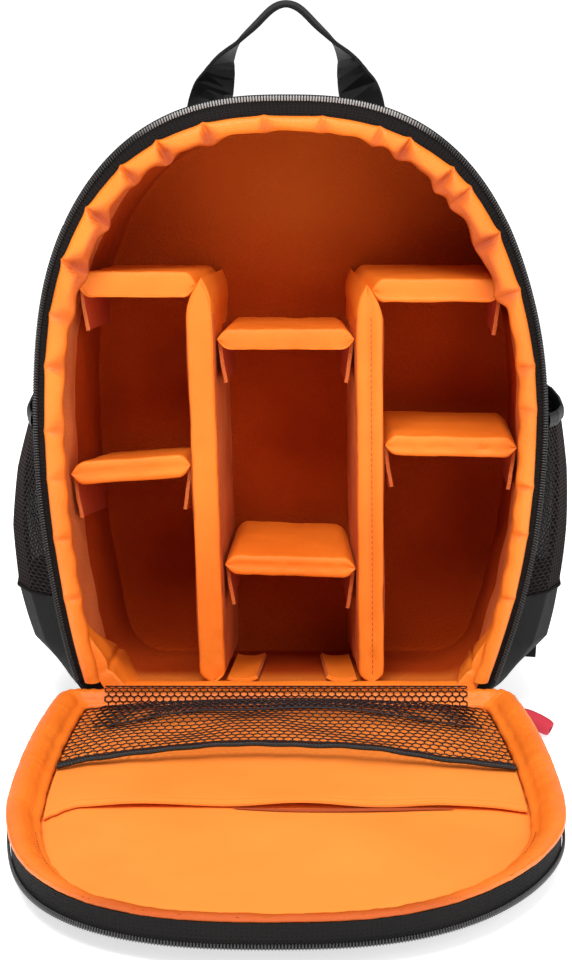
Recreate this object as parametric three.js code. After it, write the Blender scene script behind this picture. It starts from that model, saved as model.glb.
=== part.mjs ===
// A camera backpack that stands open: a padded shell with a lined compartment, two upright dividers and six
// shelves, its front panel laid down on the floor, side pockets, a carrying handle and shoulder straps.
// Millimetres. +Z is up, the open front faces -Y, and the origin lies on the shell's flat base.

import * as THREE from "three";

// Main sizes of the standing shell
const bodyHalfWidth = 133.3;
const bodyHeight = 339;
const bodyWidestHeight = 168;
const bodyDepth = 110;
const bodyTaper = 0.235; // share of the half width lost towards the base
const bodyCornerRadius = 28;
const sideBulge = 2; // how far the outer fabric swells beyond the mouth
const backEdgeRadius = 13;
const topDrop = 17; // how much lower the shell's top lies at its back than at its mouth
const sway = 2.4; // how far the soft shell leans to the right at its middle
const swayHeight = 140;
const swaySpan = 90;

// Walls and clearances
const wallThickness = 8.5;
const floorFrontThickness = 20.5; // the padded floor is thicker at its front edge
const floorBackThickness = 10;
const backWallThickness = 8;
const wallLean = 16; // how far the compartment's left wall leans in at the back
const liningThickness = 2.4;
const liningSetBack = 2; // how far the lining's front edge lies behind the mouth
const sewnGap = 0.3; // between pieces that are sewn or pressed together
const looseGap = 0.6; // between a curved skin and what it is sewn to

// Zip fastener and the rolled edges
const tapeThickness = 1.3;
const coilWidth = 3;
const coilHeight = 1.5;
const rimDepth = 6.4;
const gatherDepth = 2;

// Front panel, lying on the floor
const lidHalfWidth = 133.5;
const lidLength = 313;
const lidWidestLength = 158;
const lidTaper = 0.1;
const lidCornerRadius = 12;
const lidTipShift = 6.5; // how far the panel's far end lies to the left
const lidTipStart = 190; // the shift grows from this far along the panel, over the next span
const lidTipSpan = 110;
const lidHeight = 21;
const lidZipRoom = 4; // the roll overhangs the panel's wall and the zip on it by this much
const lidWall = 3;
const lidBottomThickness = 4;
const lidFootInset = 42; // how far inside its outline the domed panel touches the floor
const lidRollWidth = 17;
const lidRollRise = 4.4; // how far the roll stands above the panel's wall
const lidPadTop = 14.3;
const lidPadRound = 9; // width of the pad's rounded border
const lidTapeWidth = 10;
const hingeShare = 0.6; // the roll and the pad's edge are narrower along the hinge
const hingeFlapWidth = 8.6;
const hingeFlapThickness = 1.5;
const hingeFlapRoom = 1; // at each end of the sill

// Pockets inside the front panel
const slipThickness = 1.4;
const slipReach = 154; // from the hinge to the slip pocket's free edge
const slipWave = 3;
const netThickness = 1.2;
const netReach = 86;
const netRise = 6.4; // height of the net pocket's mouth above the slip pocket
const netBandWidth = 5;

// Dividers, shelves and their hook tabs
const dividerThickness = 14;
const dividerSetBack = 9; // how far the dividers' front edges lie behind the mouth
const shelfSetBack = 4; // how far the shelves' front edges lie behind the dividers'
const shelfBackRoom = 11; // behind the shelves
const padCorner = 3; // how far a stuffed piece's ends draw in at its front and back
const tabThickness = 2;
const tabHeight = 20;
const tabInset = 6.5; // from a shelf's front and back to its tabs
const floorTabWidth = 16;
const floorTabSetBack = 6; // how far the floor tabs start behind the dividers' front
const floorTabBackRoom = 24; // behind the floor tabs

// Side pockets
const pocketBottom = 17;
const pocketTop = 164;
const pocketClothTop = 72; // the pockets are cloth up to here and net above
const pocketBulge = 21;
const pocketWall = 1.6;
const pocketHemHeight = 8;
const pocketHemThickness = 2.4;
const pocketFrontMargin = 9;
const pocketBackMargin = 14;

// Handle, back pad and shoulder straps
const handleWidth = 24;
const handleThickness = 2.4;
const handleHalfSpan = 42;
const handleRise = 38.7;
const backPadThickness = 8;
const backPadInset = 36;
const backPadRound = 8; // width of the pad's rounded border
const strapWidth = 56;
const strapEndWidth = 34;
const strapThickness = 10;
const strapStandOff = 24; // how far a strap bows away from the back pad
const webbingWidth = 24;
const webbingThickness = 1.8;
const webbingTurn = 0.9; // rise for each unit across that the webbing's width has turned to at its foot
const buckleWidth = 34;
const buckleHeight = 24;
const buckleThickness = 5;
const buckleSlot = 4;
const wingThickness = 2.4;
const wingLow = 5;
const wingHeight = 28;
const wingTipHeight = 19;
const wingReachRight = 42; // how far the strap's cloth tab sticks out past the back's edge
const wingReachLeft = 16;

// Zip sliders and the pull on the right one
const sliderWidth = 9;
const sliderLength = 12;
const sliderThickness = 4;
const pullWidth = 9.6;
const pullEyeWidth = 3.8;
const pullEyeDepth = 5;
const pullEndX = 141; // the pull's free end, which rests on the floor beside the hinge
const pullEndY = -69;

const mouthY = -bodyDepth / 2;
const backY = bodyDepth / 2;
const orange = 0xf08428;
const darkOrange = 0xd96a35;
const black = 0x1b1a19;

const body = {
  halfWidth: bodyHalfWidth,
  height: bodyHeight,
  widest: bodyWidestHeight,
  taper: bodyTaper,
  corner: bodyCornerRadius,
};
const lid = {
  halfWidth: lidHalfWidth,
  height: lidLength,
  widest: lidWidestLength,
  taper: lidTaper,
  corner: lidCornerRadius,
};

const part = new THREE.Group();

function add(name, geometry, color, roughness = 0.8, metalness = 0) {
  const mesh = new THREE.Mesh(
    geometry,
    new THREE.MeshStandardMaterial({ color, roughness, metalness }),
  );
  mesh.name = name;
  part.add(mesh);
  return mesh;
}

// Evenly spread numbers from first to last.
function spread(first, last, steps) {
  return Array.from({ length: steps + 1 }, (_, i) => first + ((last - first) * i) / steps);
}

// The value at a place in a table whose rows rise along one column.
function lookUp(rows, key, value, at) {
  const next = rows.findIndex((row) => row[key] >= at);
  if (next < 0) return rows.at(-1)[value];
  if (next === 0) return rows[0][value];
  const [a, b] = [rows[next - 1], rows[next]];
  return a[value] + ((b[value] - a[value]) * (at - a[key])) / (b[key] - a[key]);
}

// A geometry from points and triangles, turned so that its faces point outwards.
function closedGeometry(points, faces) {
  const volume = faces.reduce((sum, [a, b, c]) => {
    return sum + points[a].dot(new THREE.Vector3().crossVectors(points[b], points[c]));
  }, 0);
  const outward = volume < 0 ? faces.map(([a, b, c]) => [b, a, c]) : faces;
  const geometry = new THREE.BufferGeometry().setFromPoints(points);
  geometry.setIndex(outward.flat());
  return geometry;
}

// Triangles that close one end of a loft: round its middle point, or across a strip's two long sides.
function capFaces(start, count, cap, middle) {
  if (cap === "fan")
    return Array.from({ length: count }, (_, i) => [start + i, start + ((i + 1) % count), middle]);
  return Array.from({ length: count / 2 - 1 }, (_, i) => {
    const far = start + count - 1 - i;
    return [
      [start + i, start + i + 1, far - 1],
      [start + i, far - 1, far],
    ];
  }).flat();
}

// A closed solid through rings of points. around joins the last ring to the first instead of closing the ends.
function loft(rings, { cap = "fan", around = false } = {}) {
  const count = rings[0].length;
  const points = rings.flat();
  const faces = [];
  const joins = around ? rings.length : rings.length - 1;
  for (let r = 0; r < joins; r++) {
    for (let i = 0; i < count; i++) {
      const a = r * count + i;
      const b = r * count + ((i + 1) % count);
      const c = ((r + 1) % rings.length) * count + i;
      const d = ((r + 1) % rings.length) * count + ((i + 1) % count);
      faces.push([a, b, d], [a, d, c]);
    }
  }
  if (around) return closedGeometry(points, faces);
  const ends = [
    { ring: 0, turned: true },
    { ring: rings.length - 1, turned: false },
  ];
  for (const { ring, turned } of ends) {
    const middle = points.length;
    if (cap === "fan") {
      const sum = rings[ring].reduce((total, p) => total.add(p), new THREE.Vector3());
      points.push(sum.divideScalar(count));
    }
    for (const [a, b, c] of capFaces(ring * count, count, cap, middle))
      faces.push(turned ? [b, a, c] : [a, b, c]);
  }
  return closedGeometry(points, faces);
}

// Outline of an arch: a blunt oval above its widest line, tapered sides, round lower corners and a flat base.
const topPower = 2.2;
const sidePower = 2.6;
const taperPower = 2.1;
const leastCorner = 4;
const topEnd = 0.5; // places along half the outline, from the top (0) to the middle of the base (1)
const sideEnd = 0.8;
const cornerEnd = 0.92;
const quarterTurn = Math.PI / 2;

function sideX(shape, inset, z) {
  const below = Math.max(0, (shape.widest - z) / shape.widest);
  return (shape.halfWidth - inset) * (1 - shape.taper * below ** taperPower);
}

function cornerOf(shape, inset) {
  return Math.max(shape.corner - Math.max(inset, 0), leastCorner);
}

// The outline at a place from -1 (base, left) over 0 (top) to 1 (base, right), moved inwards by inset, with
// its base raised by lift.
function outlineAt(shape, place, inset, lift) {
  const side = place < 0 ? -1 : 1;
  const along = Math.abs(place);
  const corner = cornerOf(shape, inset);
  const rise = shape.height - shape.widest - inset;
  if (along <= topEnd) {
    const angle = (1 - along / topEnd) * quarterTurn;
    const x = (shape.halfWidth - inset) * Math.abs(Math.cos(angle)) ** (2 / sidePower);
    return [side * x, shape.widest + rise * Math.sin(angle) ** (2 / topPower)];
  }
  if (along <= sideEnd) {
    const share = (along - topEnd) / (sideEnd - topEnd);
    const z = shape.widest - share * (shape.widest - lift - corner);
    return [side * sideX(shape, inset, z), z];
  }
  if (along <= cornerEnd) {
    const angle = ((along - sideEnd) / (cornerEnd - sideEnd)) * quarterTurn;
    const z = lift + corner * (1 - Math.sin(angle));
    return [side * (sideX(shape, inset, z) - corner * (1 - Math.cos(angle))), z];
  }
  const left = (1 - along) / (1 - cornerEnd);
  return [side * (sideX(shape, inset, lift) - corner) * left, lift];
}

// Half the outline's width at a height, moved inwards by inset, with its base raised by lift.
function halfWidthAt(shape, z, inset, lift) {
  const corner = cornerOf(shape, inset);
  if (z > shape.widest) {
    const up = Math.min(1, (z - shape.widest) / (shape.height - shape.widest - inset));
    return (shape.halfWidth - inset) * (1 - up ** topPower) ** (1 / sidePower);
  }
  const low = Math.max(0, Math.min(corner, lift + corner - z));
  return sideX(shape, inset, z) - (corner - Math.sqrt(corner ** 2 - low ** 2));
}

const halfPlaces = [
  ...spread(0, topEnd, 10),
  ...spread(topEnd, sideEnd, 4).slice(1),
  ...spread(sideEnd, cornerEnd, 3).slice(1),
];
const ringPlaces = [...halfPlaces, ...halfPlaces.slice(1).reverse().map((place) => -place)];

// The share of its height that a point of the outline keeps at a depth, as the shell gets lower to the back.
function heightShare(depth) {
  return 1 - (topDrop * Math.max(depth, 0)) / (bodyDepth * bodyHeight);
}

function swayAt(z) {
  return sway * Math.exp(-(((z - swayHeight) / swaySpan) ** 4));
}

// A point of the shell's outline. lean pushes its left side inwards and leaves its right side where it is.
function bodyPoint(place, { inset, depth, lift = Math.max(inset, 0), lean = 0 }) {
  const [x, z] = outlineAt(body, place, inset, lift);
  const shift = swayAt(z) + (lean * (bodyHalfWidth - x)) / (2 * bodyHalfWidth);
  return new THREE.Vector3(x + shift, mouthY + depth, z * heightShare(depth));
}

// The outline's x at a real height and depth, on the left (side -1) or the right (side 1).
function bodyX(side, z, depth, inset, lift) {
  const level = z / heightShare(depth);
  return side * halfWidthAt(body, level, inset, lift) + swayAt(level);
}

function bodyLoft(rows) {
  return loft(rows.map((row) => ringPlaces.map((place) => bodyPoint(place, row))));
}

// The shell's outer skin: how deep behind the mouth, how far inwards and how high its base lies.
const skinRows = [
  { depth: 0, inset: 0, lift: 0 },
  { depth: 0.3 * bodyDepth, inset: -sideBulge, lift: 0 },
  { depth: bodyDepth - 1.6 * backEdgeRadius, inset: -sideBulge / 2, lift: 0 },
  { depth: bodyDepth - 0.55 * backEdgeRadius, inset: 0.2 * backEdgeRadius, lift: 0.14 * backEdgeRadius },
  { depth: bodyDepth, inset: backEdgeRadius, lift: 0.7 * backEdgeRadius },
];

// The compartment: its section at a depth, moved inwards by extra.
const cavityDepth = bodyDepth - backWallThickness;

function floorHeight(depth) {
  return floorFrontThickness + ((floorBackThickness - floorFrontThickness) * depth) / cavityDepth;
}

function cavityRow(depth, extra = 0) {
  return {
    depth,
    inset: wallThickness + extra,
    lift: floorHeight(depth) + extra,
    lean: (wallLean * depth) / cavityDepth,
  };
}

const liningInside = sewnGap + liningThickness;
const liningBack = cavityDepth - sewnGap;
const innerDepth = liningBack - liningThickness;

function makeShell() {
  return bodyLoft([...skinRows.toReversed(), cavityRow(0), cavityRow(cavityDepth)]);
}

function makeLining() {
  return bodyLoft([
    cavityRow(innerDepth, liningInside),
    cavityRow(liningSetBack, liningInside),
    cavityRow(liningSetBack, sewnGap),
    cavityRow(liningBack, sewnGap),
  ]);
}

// The lining's inner face at a height and depth, on the left (side -1) or the right (side 1).
function innerWallX(side, z, depth) {
  const { inset, lift, lean } = cavityRow(depth, liningInside);
  const x = bodyX(side, z, depth, inset, lift);
  return x + (lean * (bodyHalfWidth - x)) / (2 * bodyHalfWidth);
}

function innerFloorZ(depth) {
  return (floorHeight(depth) + liningInside) * heightShare(depth);
}

// The zip and the rolled edge run along the arch of the mouth, down to just above the front panel.
const lidTop = lidHeight + lidRollRise;
const archMargin = 2;
const archReach = (bodyWidestHeight - lidTop - archMargin) / (bodyWidestHeight - bodyCornerRadius);
const archEnd = topEnd + (sideEnd - topEnd) * Math.min(1, archReach);

function archPlaces(sideSteps, topSteps) {
  return [
    ...spread(-archEnd, -topEnd, sideSteps),
    ...spread(-topEnd, topEnd, topSteps).slice(1),
    ...spread(topEnd, archEnd, sideSteps).slice(1),
  ];
}

// How far inwards the rolled edge starts, which the tape shows up to, and how wide the roll is, by place.
const rimRows = [
  { place: -0.8, tape: 4.2, roll: 8 },
  { place: -0.6, tape: 4.2, roll: 8 },
  { place: -0.5, tape: 4.2, roll: 11 },
  { place: -0.4, tape: 4.3, roll: 11 },
  { place: -0.335, tape: 4.6, roll: 18 },
  { place: -0.295, tape: 4.8, roll: 14.5 },
  { place: -0.25, tape: 5.3, roll: 10.5 },
  { place: -0.2, tape: 6, roll: 10 },
  { place: -0.15, tape: 7.4, roll: 10.5 },
  { place: -0.08, tape: 8.4, roll: 10 },
  { place: 0, tape: 8.7, roll: 8 },
  { place: 0.08, tape: 8.4, roll: 9 },
  { place: 0.15, tape: 7.4, roll: 10 },
  { place: 0.2, tape: 6, roll: 12 },
  { place: 0.26, tape: 5, roll: 17 },
  { place: 0.335, tape: 4.6, roll: 18 },
  { place: 0.38, tape: 4.4, roll: 9.5 },
  { place: 0.5, tape: 4.2, roll: 8.6 },
  { place: 0.8, tape: 4.2, roll: 8 },
];

// Sweeps a section along the arch: its points hold how far inwards and how far behind the mouth they lie.
function archSweep(places, sectionAt) {
  return loft(
    places.map((place) => sectionAt(place).map(([inset, depth]) => bodyPoint(place, { inset, depth }))),
  );
}

const tapeFront = -sewnGap - tapeThickness;
const coilBack = tapeFront - sewnGap;

function makeMouthTape() {
  const outer = sewnGap;
  return archSweep(archPlaces(6, 36), (place) => {
    const inner = lookUp(rimRows, "place", "tape", place);
    return [
      [outer, -sewnGap],
      [outer, tapeFront],
      [inner, tapeFront],
      [inner, -sewnGap],
    ];
  });
}

function makeMouthCoil() {
  return archSweep(archPlaces(5, 26), () => [
    [coilWidth / 2, coilBack],
    [-coilWidth / 2, coilBack],
    [-coilWidth / 4, coilBack - coilHeight],
    [coilWidth / 4, coilBack - coilHeight],
  ]);
}

// Gathers of the rolled edge, by their place along the arch and their share of the gather depth.
const rimGathers = [
  { place: -0.62, depth: 0.4 },
  { place: -0.44, depth: 0.5 },
  { place: -0.327, depth: 1 },
  { place: -0.268, depth: 0.8 },
  { place: -0.197, depth: 0.7 },
  { place: -0.14, depth: 1 },
  { place: -0.07, depth: 0.7 },
  { place: -0.012, depth: 0.6 },
  { place: 0.04, depth: 0.6 },
  { place: 0.118, depth: 0.7 },
  { place: 0.187, depth: 1 },
  { place: 0.286, depth: 0.8 },
  { place: 0.35, depth: 1 },
  { place: 0.46, depth: 0.5 },
  { place: 0.63, depth: 0.4 },
];
const gatherSpan = 0.02;

function gatherAt(place) {
  return rimGathers.reduce((sum, gather) => {
    return sum + gather.depth * Math.exp(-(((place - gather.place) / gatherSpan) ** 2));
  }, 0);
}

function makeMouthRoll() {
  return archSweep(archPlaces(6, 36), (place) => {
    const outer = lookUp(rimRows, "place", "tape", place) + looseGap;
    const pinch = gatherDepth * gatherAt(place);
    const width = lookUp(rimRows, "place", "roll", place) - pinch / 2;
    const front = -sewnGap - rimDepth + pinch;
    return [
      [outer, -sewnGap],
      [outer, 0.62 * front],
      [outer + 0.25 * width, front],
      [outer + 0.75 * width, front],
      [outer + width, 0.58 * front],
      [outer + width, -sewnGap],
    ];
  });
}

// Front panel: its outline's base is the hinge line, and heights are counted from the floor.
function hingeLift(inset) {
  const wall = lidZipRoom + lidWall;
  return inset <= wall ? Math.max(inset, 0) : wall + (inset - wall) * hingeShare;
}

const lidY = mouthY - sewnGap;

// The panel bends to the left towards its far end.
function tipShift(reach) {
  return -lidTipShift * THREE.MathUtils.smoothstep(reach, lidTipStart, lidTipStart + lidTipSpan);
}

function lidPoint(place, inset, z) {
  const [x, reach] = outlineAt(lid, place, inset, hingeLift(inset));
  return new THREE.Vector3(x + tipShift(reach), lidY - reach, z);
}

function lidLoft(rows) {
  return loft(rows.map((row) => ringPlaces.map((place) => lidPoint(place, row.inset, row.z))));
}

// The domed panel in section, from its foot to the top of its wall: how far inwards as a share of the way from
// the wall to the foot, how high as a share of the panel's height, and the share of the bottom's thickness
// under its inside.
const domeRows = [
  { inwards: 1, rise: 0, under: 1 },
  { inwards: 0.57, rise: 0.12, under: 1 },
  { inwards: 0.24, rise: 0.34, under: 1 },
  { inwards: 0.06, rise: 0.56, under: 0.6 },
  { inwards: 0, rise: 0.7, under: 0.4 },
  { inwards: 0, rise: 1, under: 0 },
];
const domeOuter = domeRows.map((row) => ({
  inset: lidZipRoom + row.inwards * (lidFootInset - lidZipRoom),
  z: row.rise * lidHeight,
}));
const domeInner = domeRows.map((row, i) => ({
  inset: domeOuter[i].inset + lidWall * (1 - row.inwards),
  z: domeOuter[i].z + row.under * lidBottomThickness,
}));
const domeInnerInwards = domeInner.slice(0, -1).toReversed();

// Height of the panel's inner skin at an inset.
function domeFloorZ(inset) {
  return lookUp(domeInnerInwards, "inset", "z", inset);
}

function makeLidShell() {
  return lidLoft([...domeInner, ...domeOuter.toReversed()]);
}

const rollInner = lidRollWidth;
const padOuter = rollInner + sewnGap;

function makeLidPad() {
  const onDome = (inset) => ({ inset, z: domeFloorZ(inset) + looseGap });
  const foot = lidFootInset + 2;
  const edge = onDome(padOuter + 1);
  return lidLoft([
    onDome(foot),
    onDome(padOuter + 0.37 * (foot - padOuter)),
    edge,
    { inset: padOuter, z: edge.z + 0.6 * (lidPadTop - edge.z) },
    { inset: padOuter + 2.5, z: edge.z + 0.88 * (lidPadTop - edge.z) },
    { inset: padOuter + lidPadRound, z: lidPadTop },
  ]);
}

function makeLidRoll() {
  const onDome = (inset) => [inset, domeFloorZ(inset) + looseGap];
  const insideWall = lidZipRoom + lidWall + sewnGap;
  const overWall = lidHeight + sewnGap;
  const section = [
    onDome(insideWall),
    [insideWall, overWall],
    [0.06 * lidRollWidth, overWall],
    [0, overWall + 0.3 * lidRollRise],
    [0.14 * lidRollWidth, lidTop - 0.2 * lidRollRise],
    [0.4 * lidRollWidth, lidTop],
    [0.76 * lidRollWidth, lidTop - 0.5 * lidRollRise],
    [rollInner, lidTop - 1.5 * lidRollRise],
    onDome(rollInner - 1),
    onDome(0.7 * lidRollWidth),
  ];
  const rings = ringPlaces.map((place) => section.map(([inset, z]) => lidPoint(place, inset, z)));
  return loft(rings, { around: true });
}

// The zip's other half hangs on the panel's outer wall, from hinge corner to hinge corner round the far end.
const lidZipHalf = halfPlaces.filter((place) => place <= sideEnd);
const lidZipPlaces = [...lidZipHalf.slice(1).reverse().map((place) => -place), ...lidZipHalf];
const lidTapeTop = lidHeight - sewnGap;
const lidTapeLow = lidTapeTop - lidTapeWidth;
const lidTapeFace = lidZipRoom - sewnGap - tapeThickness;

function lidSweep(section) {
  return loft(lidZipPlaces.map((place) => section.map(([inset, z]) => lidPoint(place, inset, z))));
}

function makeLidTape() {
  return lidSweep([
    [lidTapeFace + tapeThickness, lidTapeLow],
    [lidTapeFace, lidTapeLow],
    [lidTapeFace, lidTapeTop],
    [lidTapeFace + tapeThickness, lidTapeTop],
  ]);
}

function makeLidCoil() {
  const face = lidTapeFace - sewnGap;
  return lidSweep([
    [face, lidTapeLow],
    [face - coilHeight, lidTapeLow + coilWidth / 4],
    [face - coilHeight, lidTapeLow + (3 * coilWidth) / 4],
    [face, lidTapeLow + coilWidth],
  ]);
}

// The cloth sill between the compartment's floor and the front panel's rolled edge.
function makeHingeFlap() {
  const low = innerFloorZ(liningSetBack) + sewnGap;
  const half = halfWidthAt(body, low, wallThickness + liningInside, innerFloorZ(0)) - hingeFlapRoom;
  const geometry = new THREE.BoxGeometry(2 * half, hingeFlapWidth, hingeFlapThickness);
  return geometry.translate(0, mouthY + hingeFlapWidth / 2, low + hingeFlapThickness / 2);
}

// Pockets on the front panel: u runs across from -1 to 1, v from the hinge to the free edge.
const sheetInset = rollInner + sewnGap;
const sheetStart = hingeLift(sheetInset) + 1;
const slipTop = lidPadTop + sewnGap + slipThickness;
const netFloor = slipTop + sewnGap;

// Their free edges sag unevenly: how far each reaches at u, as a share of its reach.
const pocketEdges = [
  { across: -1, net: 1.2, slip: 1.14 },
  { across: -0.92, net: 1.13, slip: 1 },
  { across: -0.7, net: 1.07, slip: 1 },
  { across: -0.3, net: 1.01, slip: 0.995 },
  { across: 0, net: 1, slip: 1.01 },
  { across: 0.3, net: 1.05, slip: 1.005 },
  { across: 0.6, net: 1.13, slip: 1 },
  { across: 0.9, net: 1.2, slip: 1.02 },
  { across: 1, net: 1.23, slip: 1.055 },
];

function sheetPoint(u, v, reach, edge, z) {
  const length = sheetStart + (reach * lookUp(pocketEdges, "across", edge, u) - sheetStart) * v;
  const halfWidth = halfWidthAt(lid, length, sheetInset, hingeLift(sheetInset)) - looseGap;
  return new THREE.Vector3(u * halfWidth + tipShift(length), lidY - length, z);
}

function slipSurface(u, v, side) {
  const wave = slipWave * v ** 6 * (1 - u ** 2) * (0.55 + 0.45 * Math.sin(9 * u + 1));
  const z = slipTop + wave - (1 - side) * slipThickness;
  return sheetPoint(u, v, slipReach, "slip", z);
}

function netSurface(u, v, side) {
  const arch = netRise * (1 - u ** 2) * (0.8 + 0.2 * v);
  return sheetPoint(u, v, netReach, "net", netFloor + arch + side * netThickness);
}

// A cloth sheet: surface gives its points on the upper (side 1) and the lower face (side 0).
function clothSheet(surface, columns, rows) {
  return loft(
    rows.map((v) => [
      ...columns.map((u) => surface(u, v, 1)),
      ...columns.map((u) => surface(u, v, 0)).reverse(),
    ]),
    { cap: "strip" },
  );
}

// A net of staggered six-sided gaps, cut through, in a frame of its own strands.
const netZigzag = 0.17; // share of a row by which the knots step up and down
const netStrand = 0.17; // share of a cell that the strands round its gap take

function netSheet(surface, columns, rows) {
  const points = [];
  const faces = [];
  const knots = new Map();
  const put = (u, v) => points.push(surface(u, v, 1), surface(u, v, 0)) - 2;
  const knot = (i, j) => {
    const key = `${i} ${j}`;
    if (!knots.has(key)) {
      const inside = j > 0 && j < rows;
      const step = (i - j) % 2 === 0 ? netZigzag : -netZigzag;
      const [u, v] = [i / columns - 1, (j + (inside ? step : 0)) / rows];
      knots.set(key, { u, v, index: put(u, v) });
    }
    return knots.get(key);
  };
  const cover = (a, b, c) => faces.push([a, b, c], [b + 1, a + 1, c + 1]);
  const edge = (a, b) => faces.push([b, a, a + 1], [b, a + 1, b + 1]);
  const addCell = (ring) => {
    const middle = {
      u: ring.reduce((sum, k) => sum + k.u, 0) / ring.length,
      v: ring.reduce((sum, k) => sum + k.v, 0) / ring.length,
    };
    const gap = ring.map((k) =>
      put(k.u + (middle.u - k.u) * netStrand, k.v + (middle.v - k.v) * netStrand),
    );
    ring.forEach((k, n) => {
      const m = (n + 1) % ring.length;
      cover(k.index, ring[m].index, gap[m]);
      cover(k.index, gap[m], gap[n]);
      edge(gap[m], gap[n]);
    });
  };
  const addFilled = (a, b, c, d) => {
    cover(a.index, b.index, c.index);
    cover(a.index, c.index, d.index);
  };
  const last = 2 * columns;
  for (let j = 0; j < rows; j++) {
    const first = j % 2;
    for (let i = first; i + 2 <= last; i += 2)
      addCell([...[i, i + 1, i + 2].map((n) => knot(n, j)), ...[i + 2, i + 1, i].map((n) => knot(n, j + 1))]);
    if (first === 1) {
      addFilled(knot(0, j), knot(1, j), knot(1, j + 1), knot(0, j + 1));
      addFilled(knot(last - 1, j), knot(last, j), knot(last, j + 1), knot(last - 1, j + 1));
    }
    edge(knot(0, j + 1).index, knot(0, j).index);
    edge(knot(last, j).index, knot(last, j + 1).index);
  }
  for (let i = 0; i < last; i++) {
    edge(knot(i, 0).index, knot(i + 1, 0).index);
    edge(knot(i + 1, rows).index, knot(i, rows).index);
  }
  return closedGeometry(points, faces);
}

function makeNetBand() {
  const edgePoint = (u, ahead, up) => {
    const p = netSurface(u, 1, 0);
    return new THREE.Vector3(p.x, p.y - sewnGap - ahead, p.z + up);
  };
  const top = netThickness + looseGap;
  return loft(
    spread(-1, 1, 24).map((u) => [
      edgePoint(u, 0, top),
      edgePoint(u, netBandWidth, top),
      edgePoint(u, netBandWidth, 0),
      edgePoint(u, 0, 0),
    ]),
  );
}

// A stuffed slab in rows along its depth: how full it is there, and how far its ends draw in as a share of
// the corner.
const padRows = [
  { along: 0, fill: 0.42, short: 1 },
  { along: 0.045, fill: 0.86, short: 0.27 },
  { along: 0.13, fill: 1, short: 0 },
  { along: 0.87, fill: 1, short: 0 },
  { along: 0.955, fill: 0.86, short: 0.27 },
  { along: 1, fill: 0.42, short: 1 },
];

// from and to give the slab's two ends at a depth, and place puts a point of its section into the part.
function stuffedSlab({ depth, thickness, from, to, place }) {
  return loft(
    padRows.map((row) => {
      const y = depth * row.along;
      const start = from(y) + padCorner * row.short;
      const end = to(y) - padCorner * row.short;
      const half = (thickness / 2) * row.fill;
      const upper = [
        [start, 0],
        [start + 0.12 * thickness, 0.62 * half],
        [start + 0.45 * thickness, half],
        [end - 0.45 * thickness, half],
        [end - 0.12 * thickness, 0.62 * half],
        [end, 0],
      ];
      const lower = upper.slice(1, -1).reverse().map(([w, t]) => [w, -t]);
      return [...upper, ...lower].map(([w, t]) => place(w, y, t));
    }),
  );
}

// Upright dividers: their middle at the foot and the top as shares of the body's half width, how far their back
// edge lies to the right of the front one, and of the shelf on their top the height, as a share of the body's,
// the thickness and how far its back hangs lower, in degrees.
const dividers = {
  left: { foot: -0.294, top: -0.343, skew: 6, height: 0.7294, thickness: 14, pitch: 7 },
  right: { foot: 0.347, top: 0.327, skew: -4, height: 0.7184, thickness: 13, pitch: 4 },
};
const dividerDepth = innerDepth - sewnGap - dividerSetBack;
const shelfFront = dividerSetBack + shelfSetBack;
const shelfDepth = dividerDepth - shelfSetBack - shelfBackRoom;

function slopeOf(degrees) {
  return Math.tan(THREE.MathUtils.degToRad(degrees));
}

function dividerTop(divider, y = 0) {
  const drop = (y - shelfSetBack) * slopeOf(divider.pitch);
  return divider.height * bodyHeight - divider.thickness - sewnGap - drop;
}

// A divider's middle at a height and a distance behind its front edge.
function dividerX(divider, z, y) {
  const share = (z - floorBackThickness) / (dividerTop(divider) - floorBackThickness);
  const front = bodyHalfWidth * (divider.foot + (divider.top - divider.foot) * share);
  return front + (divider.skew * y) / dividerDepth;
}

function addDivider(side) {
  const divider = dividers[side];
  const geometry = stuffedSlab({
    depth: dividerDepth,
    thickness: dividerThickness,
    from: (y) => innerFloorZ(dividerSetBack + y) + sewnGap,
    to: (y) => dividerTop(divider, y),
    place: (w, y, t) => new THREE.Vector3(dividerX(divider, w, y) + t, mouthY + dividerSetBack + y, w),
  });
  add(`divider_${side}`, geometry, orange);
}

// Shelves: what their ends meet, the height of their front edge as a share of the body's, how thick they are,
// how far the left end hangs lower (roll) and how far the back does (pitch), in degrees.
const shelves = [
  { name: "top_left", left: "wall", right: "over", ...dividers.left, roll: 0 },
  { name: "top_right", left: "over", right: "wall", ...dividers.right, roll: 0 },
  { name: "mid_left", left: "wall", right: "left", height: 0.4345, thickness: 13, roll: 4.2, pitch: 10.5 },
  { name: "upper_centre", left: "left", right: "right", height: 0.64, thickness: 11.5, roll: 0, pitch: 6 },
  { name: "lower_centre", left: "left", right: "right", height: 0.2745, thickness: 11.5, roll: -1.8, pitch: 0.5 },
  { name: "mid_right", left: "right", right: "wall", height: 0.469, thickness: 11.5, roll: -1.2, pitch: 2.5 },
];
const tabDrop = 0.385; // how far a tab's top hangs below its shelf's middle, as a share of the thickness
const tabRoom = 5; // how much lower a tab may reach where its shelf rolls

// Where a shelf whose middle is at height z ends on one side, clear of what its tab hangs along.
function shelfEndX(shelf, side, z, depth) {
  const what = side < 0 ? shelf.left : shelf.right;
  const y = depth - dividerSetBack;
  if (what === "over") {
    const divider = side < 0 ? dividers.right : dividers.left;
    return dividerX(divider, dividerTop(divider), y) + (side * dividerThickness) / 2;
  }
  const heights = [z + shelf.thickness / 4, z - tabDrop * shelf.thickness - tabHeight - tabRoom];
  if (what === "wall") {
    const walls = heights.map((h) => side * innerWallX(side, h, depth));
    return side * (Math.min(...walls) - sewnGap);
  }
  const middles = heights.map((h) => side * dividerX(dividers[what], h, y));
  return side * (Math.min(...middles) - dividerThickness / 2 - sewnGap);
}

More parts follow.
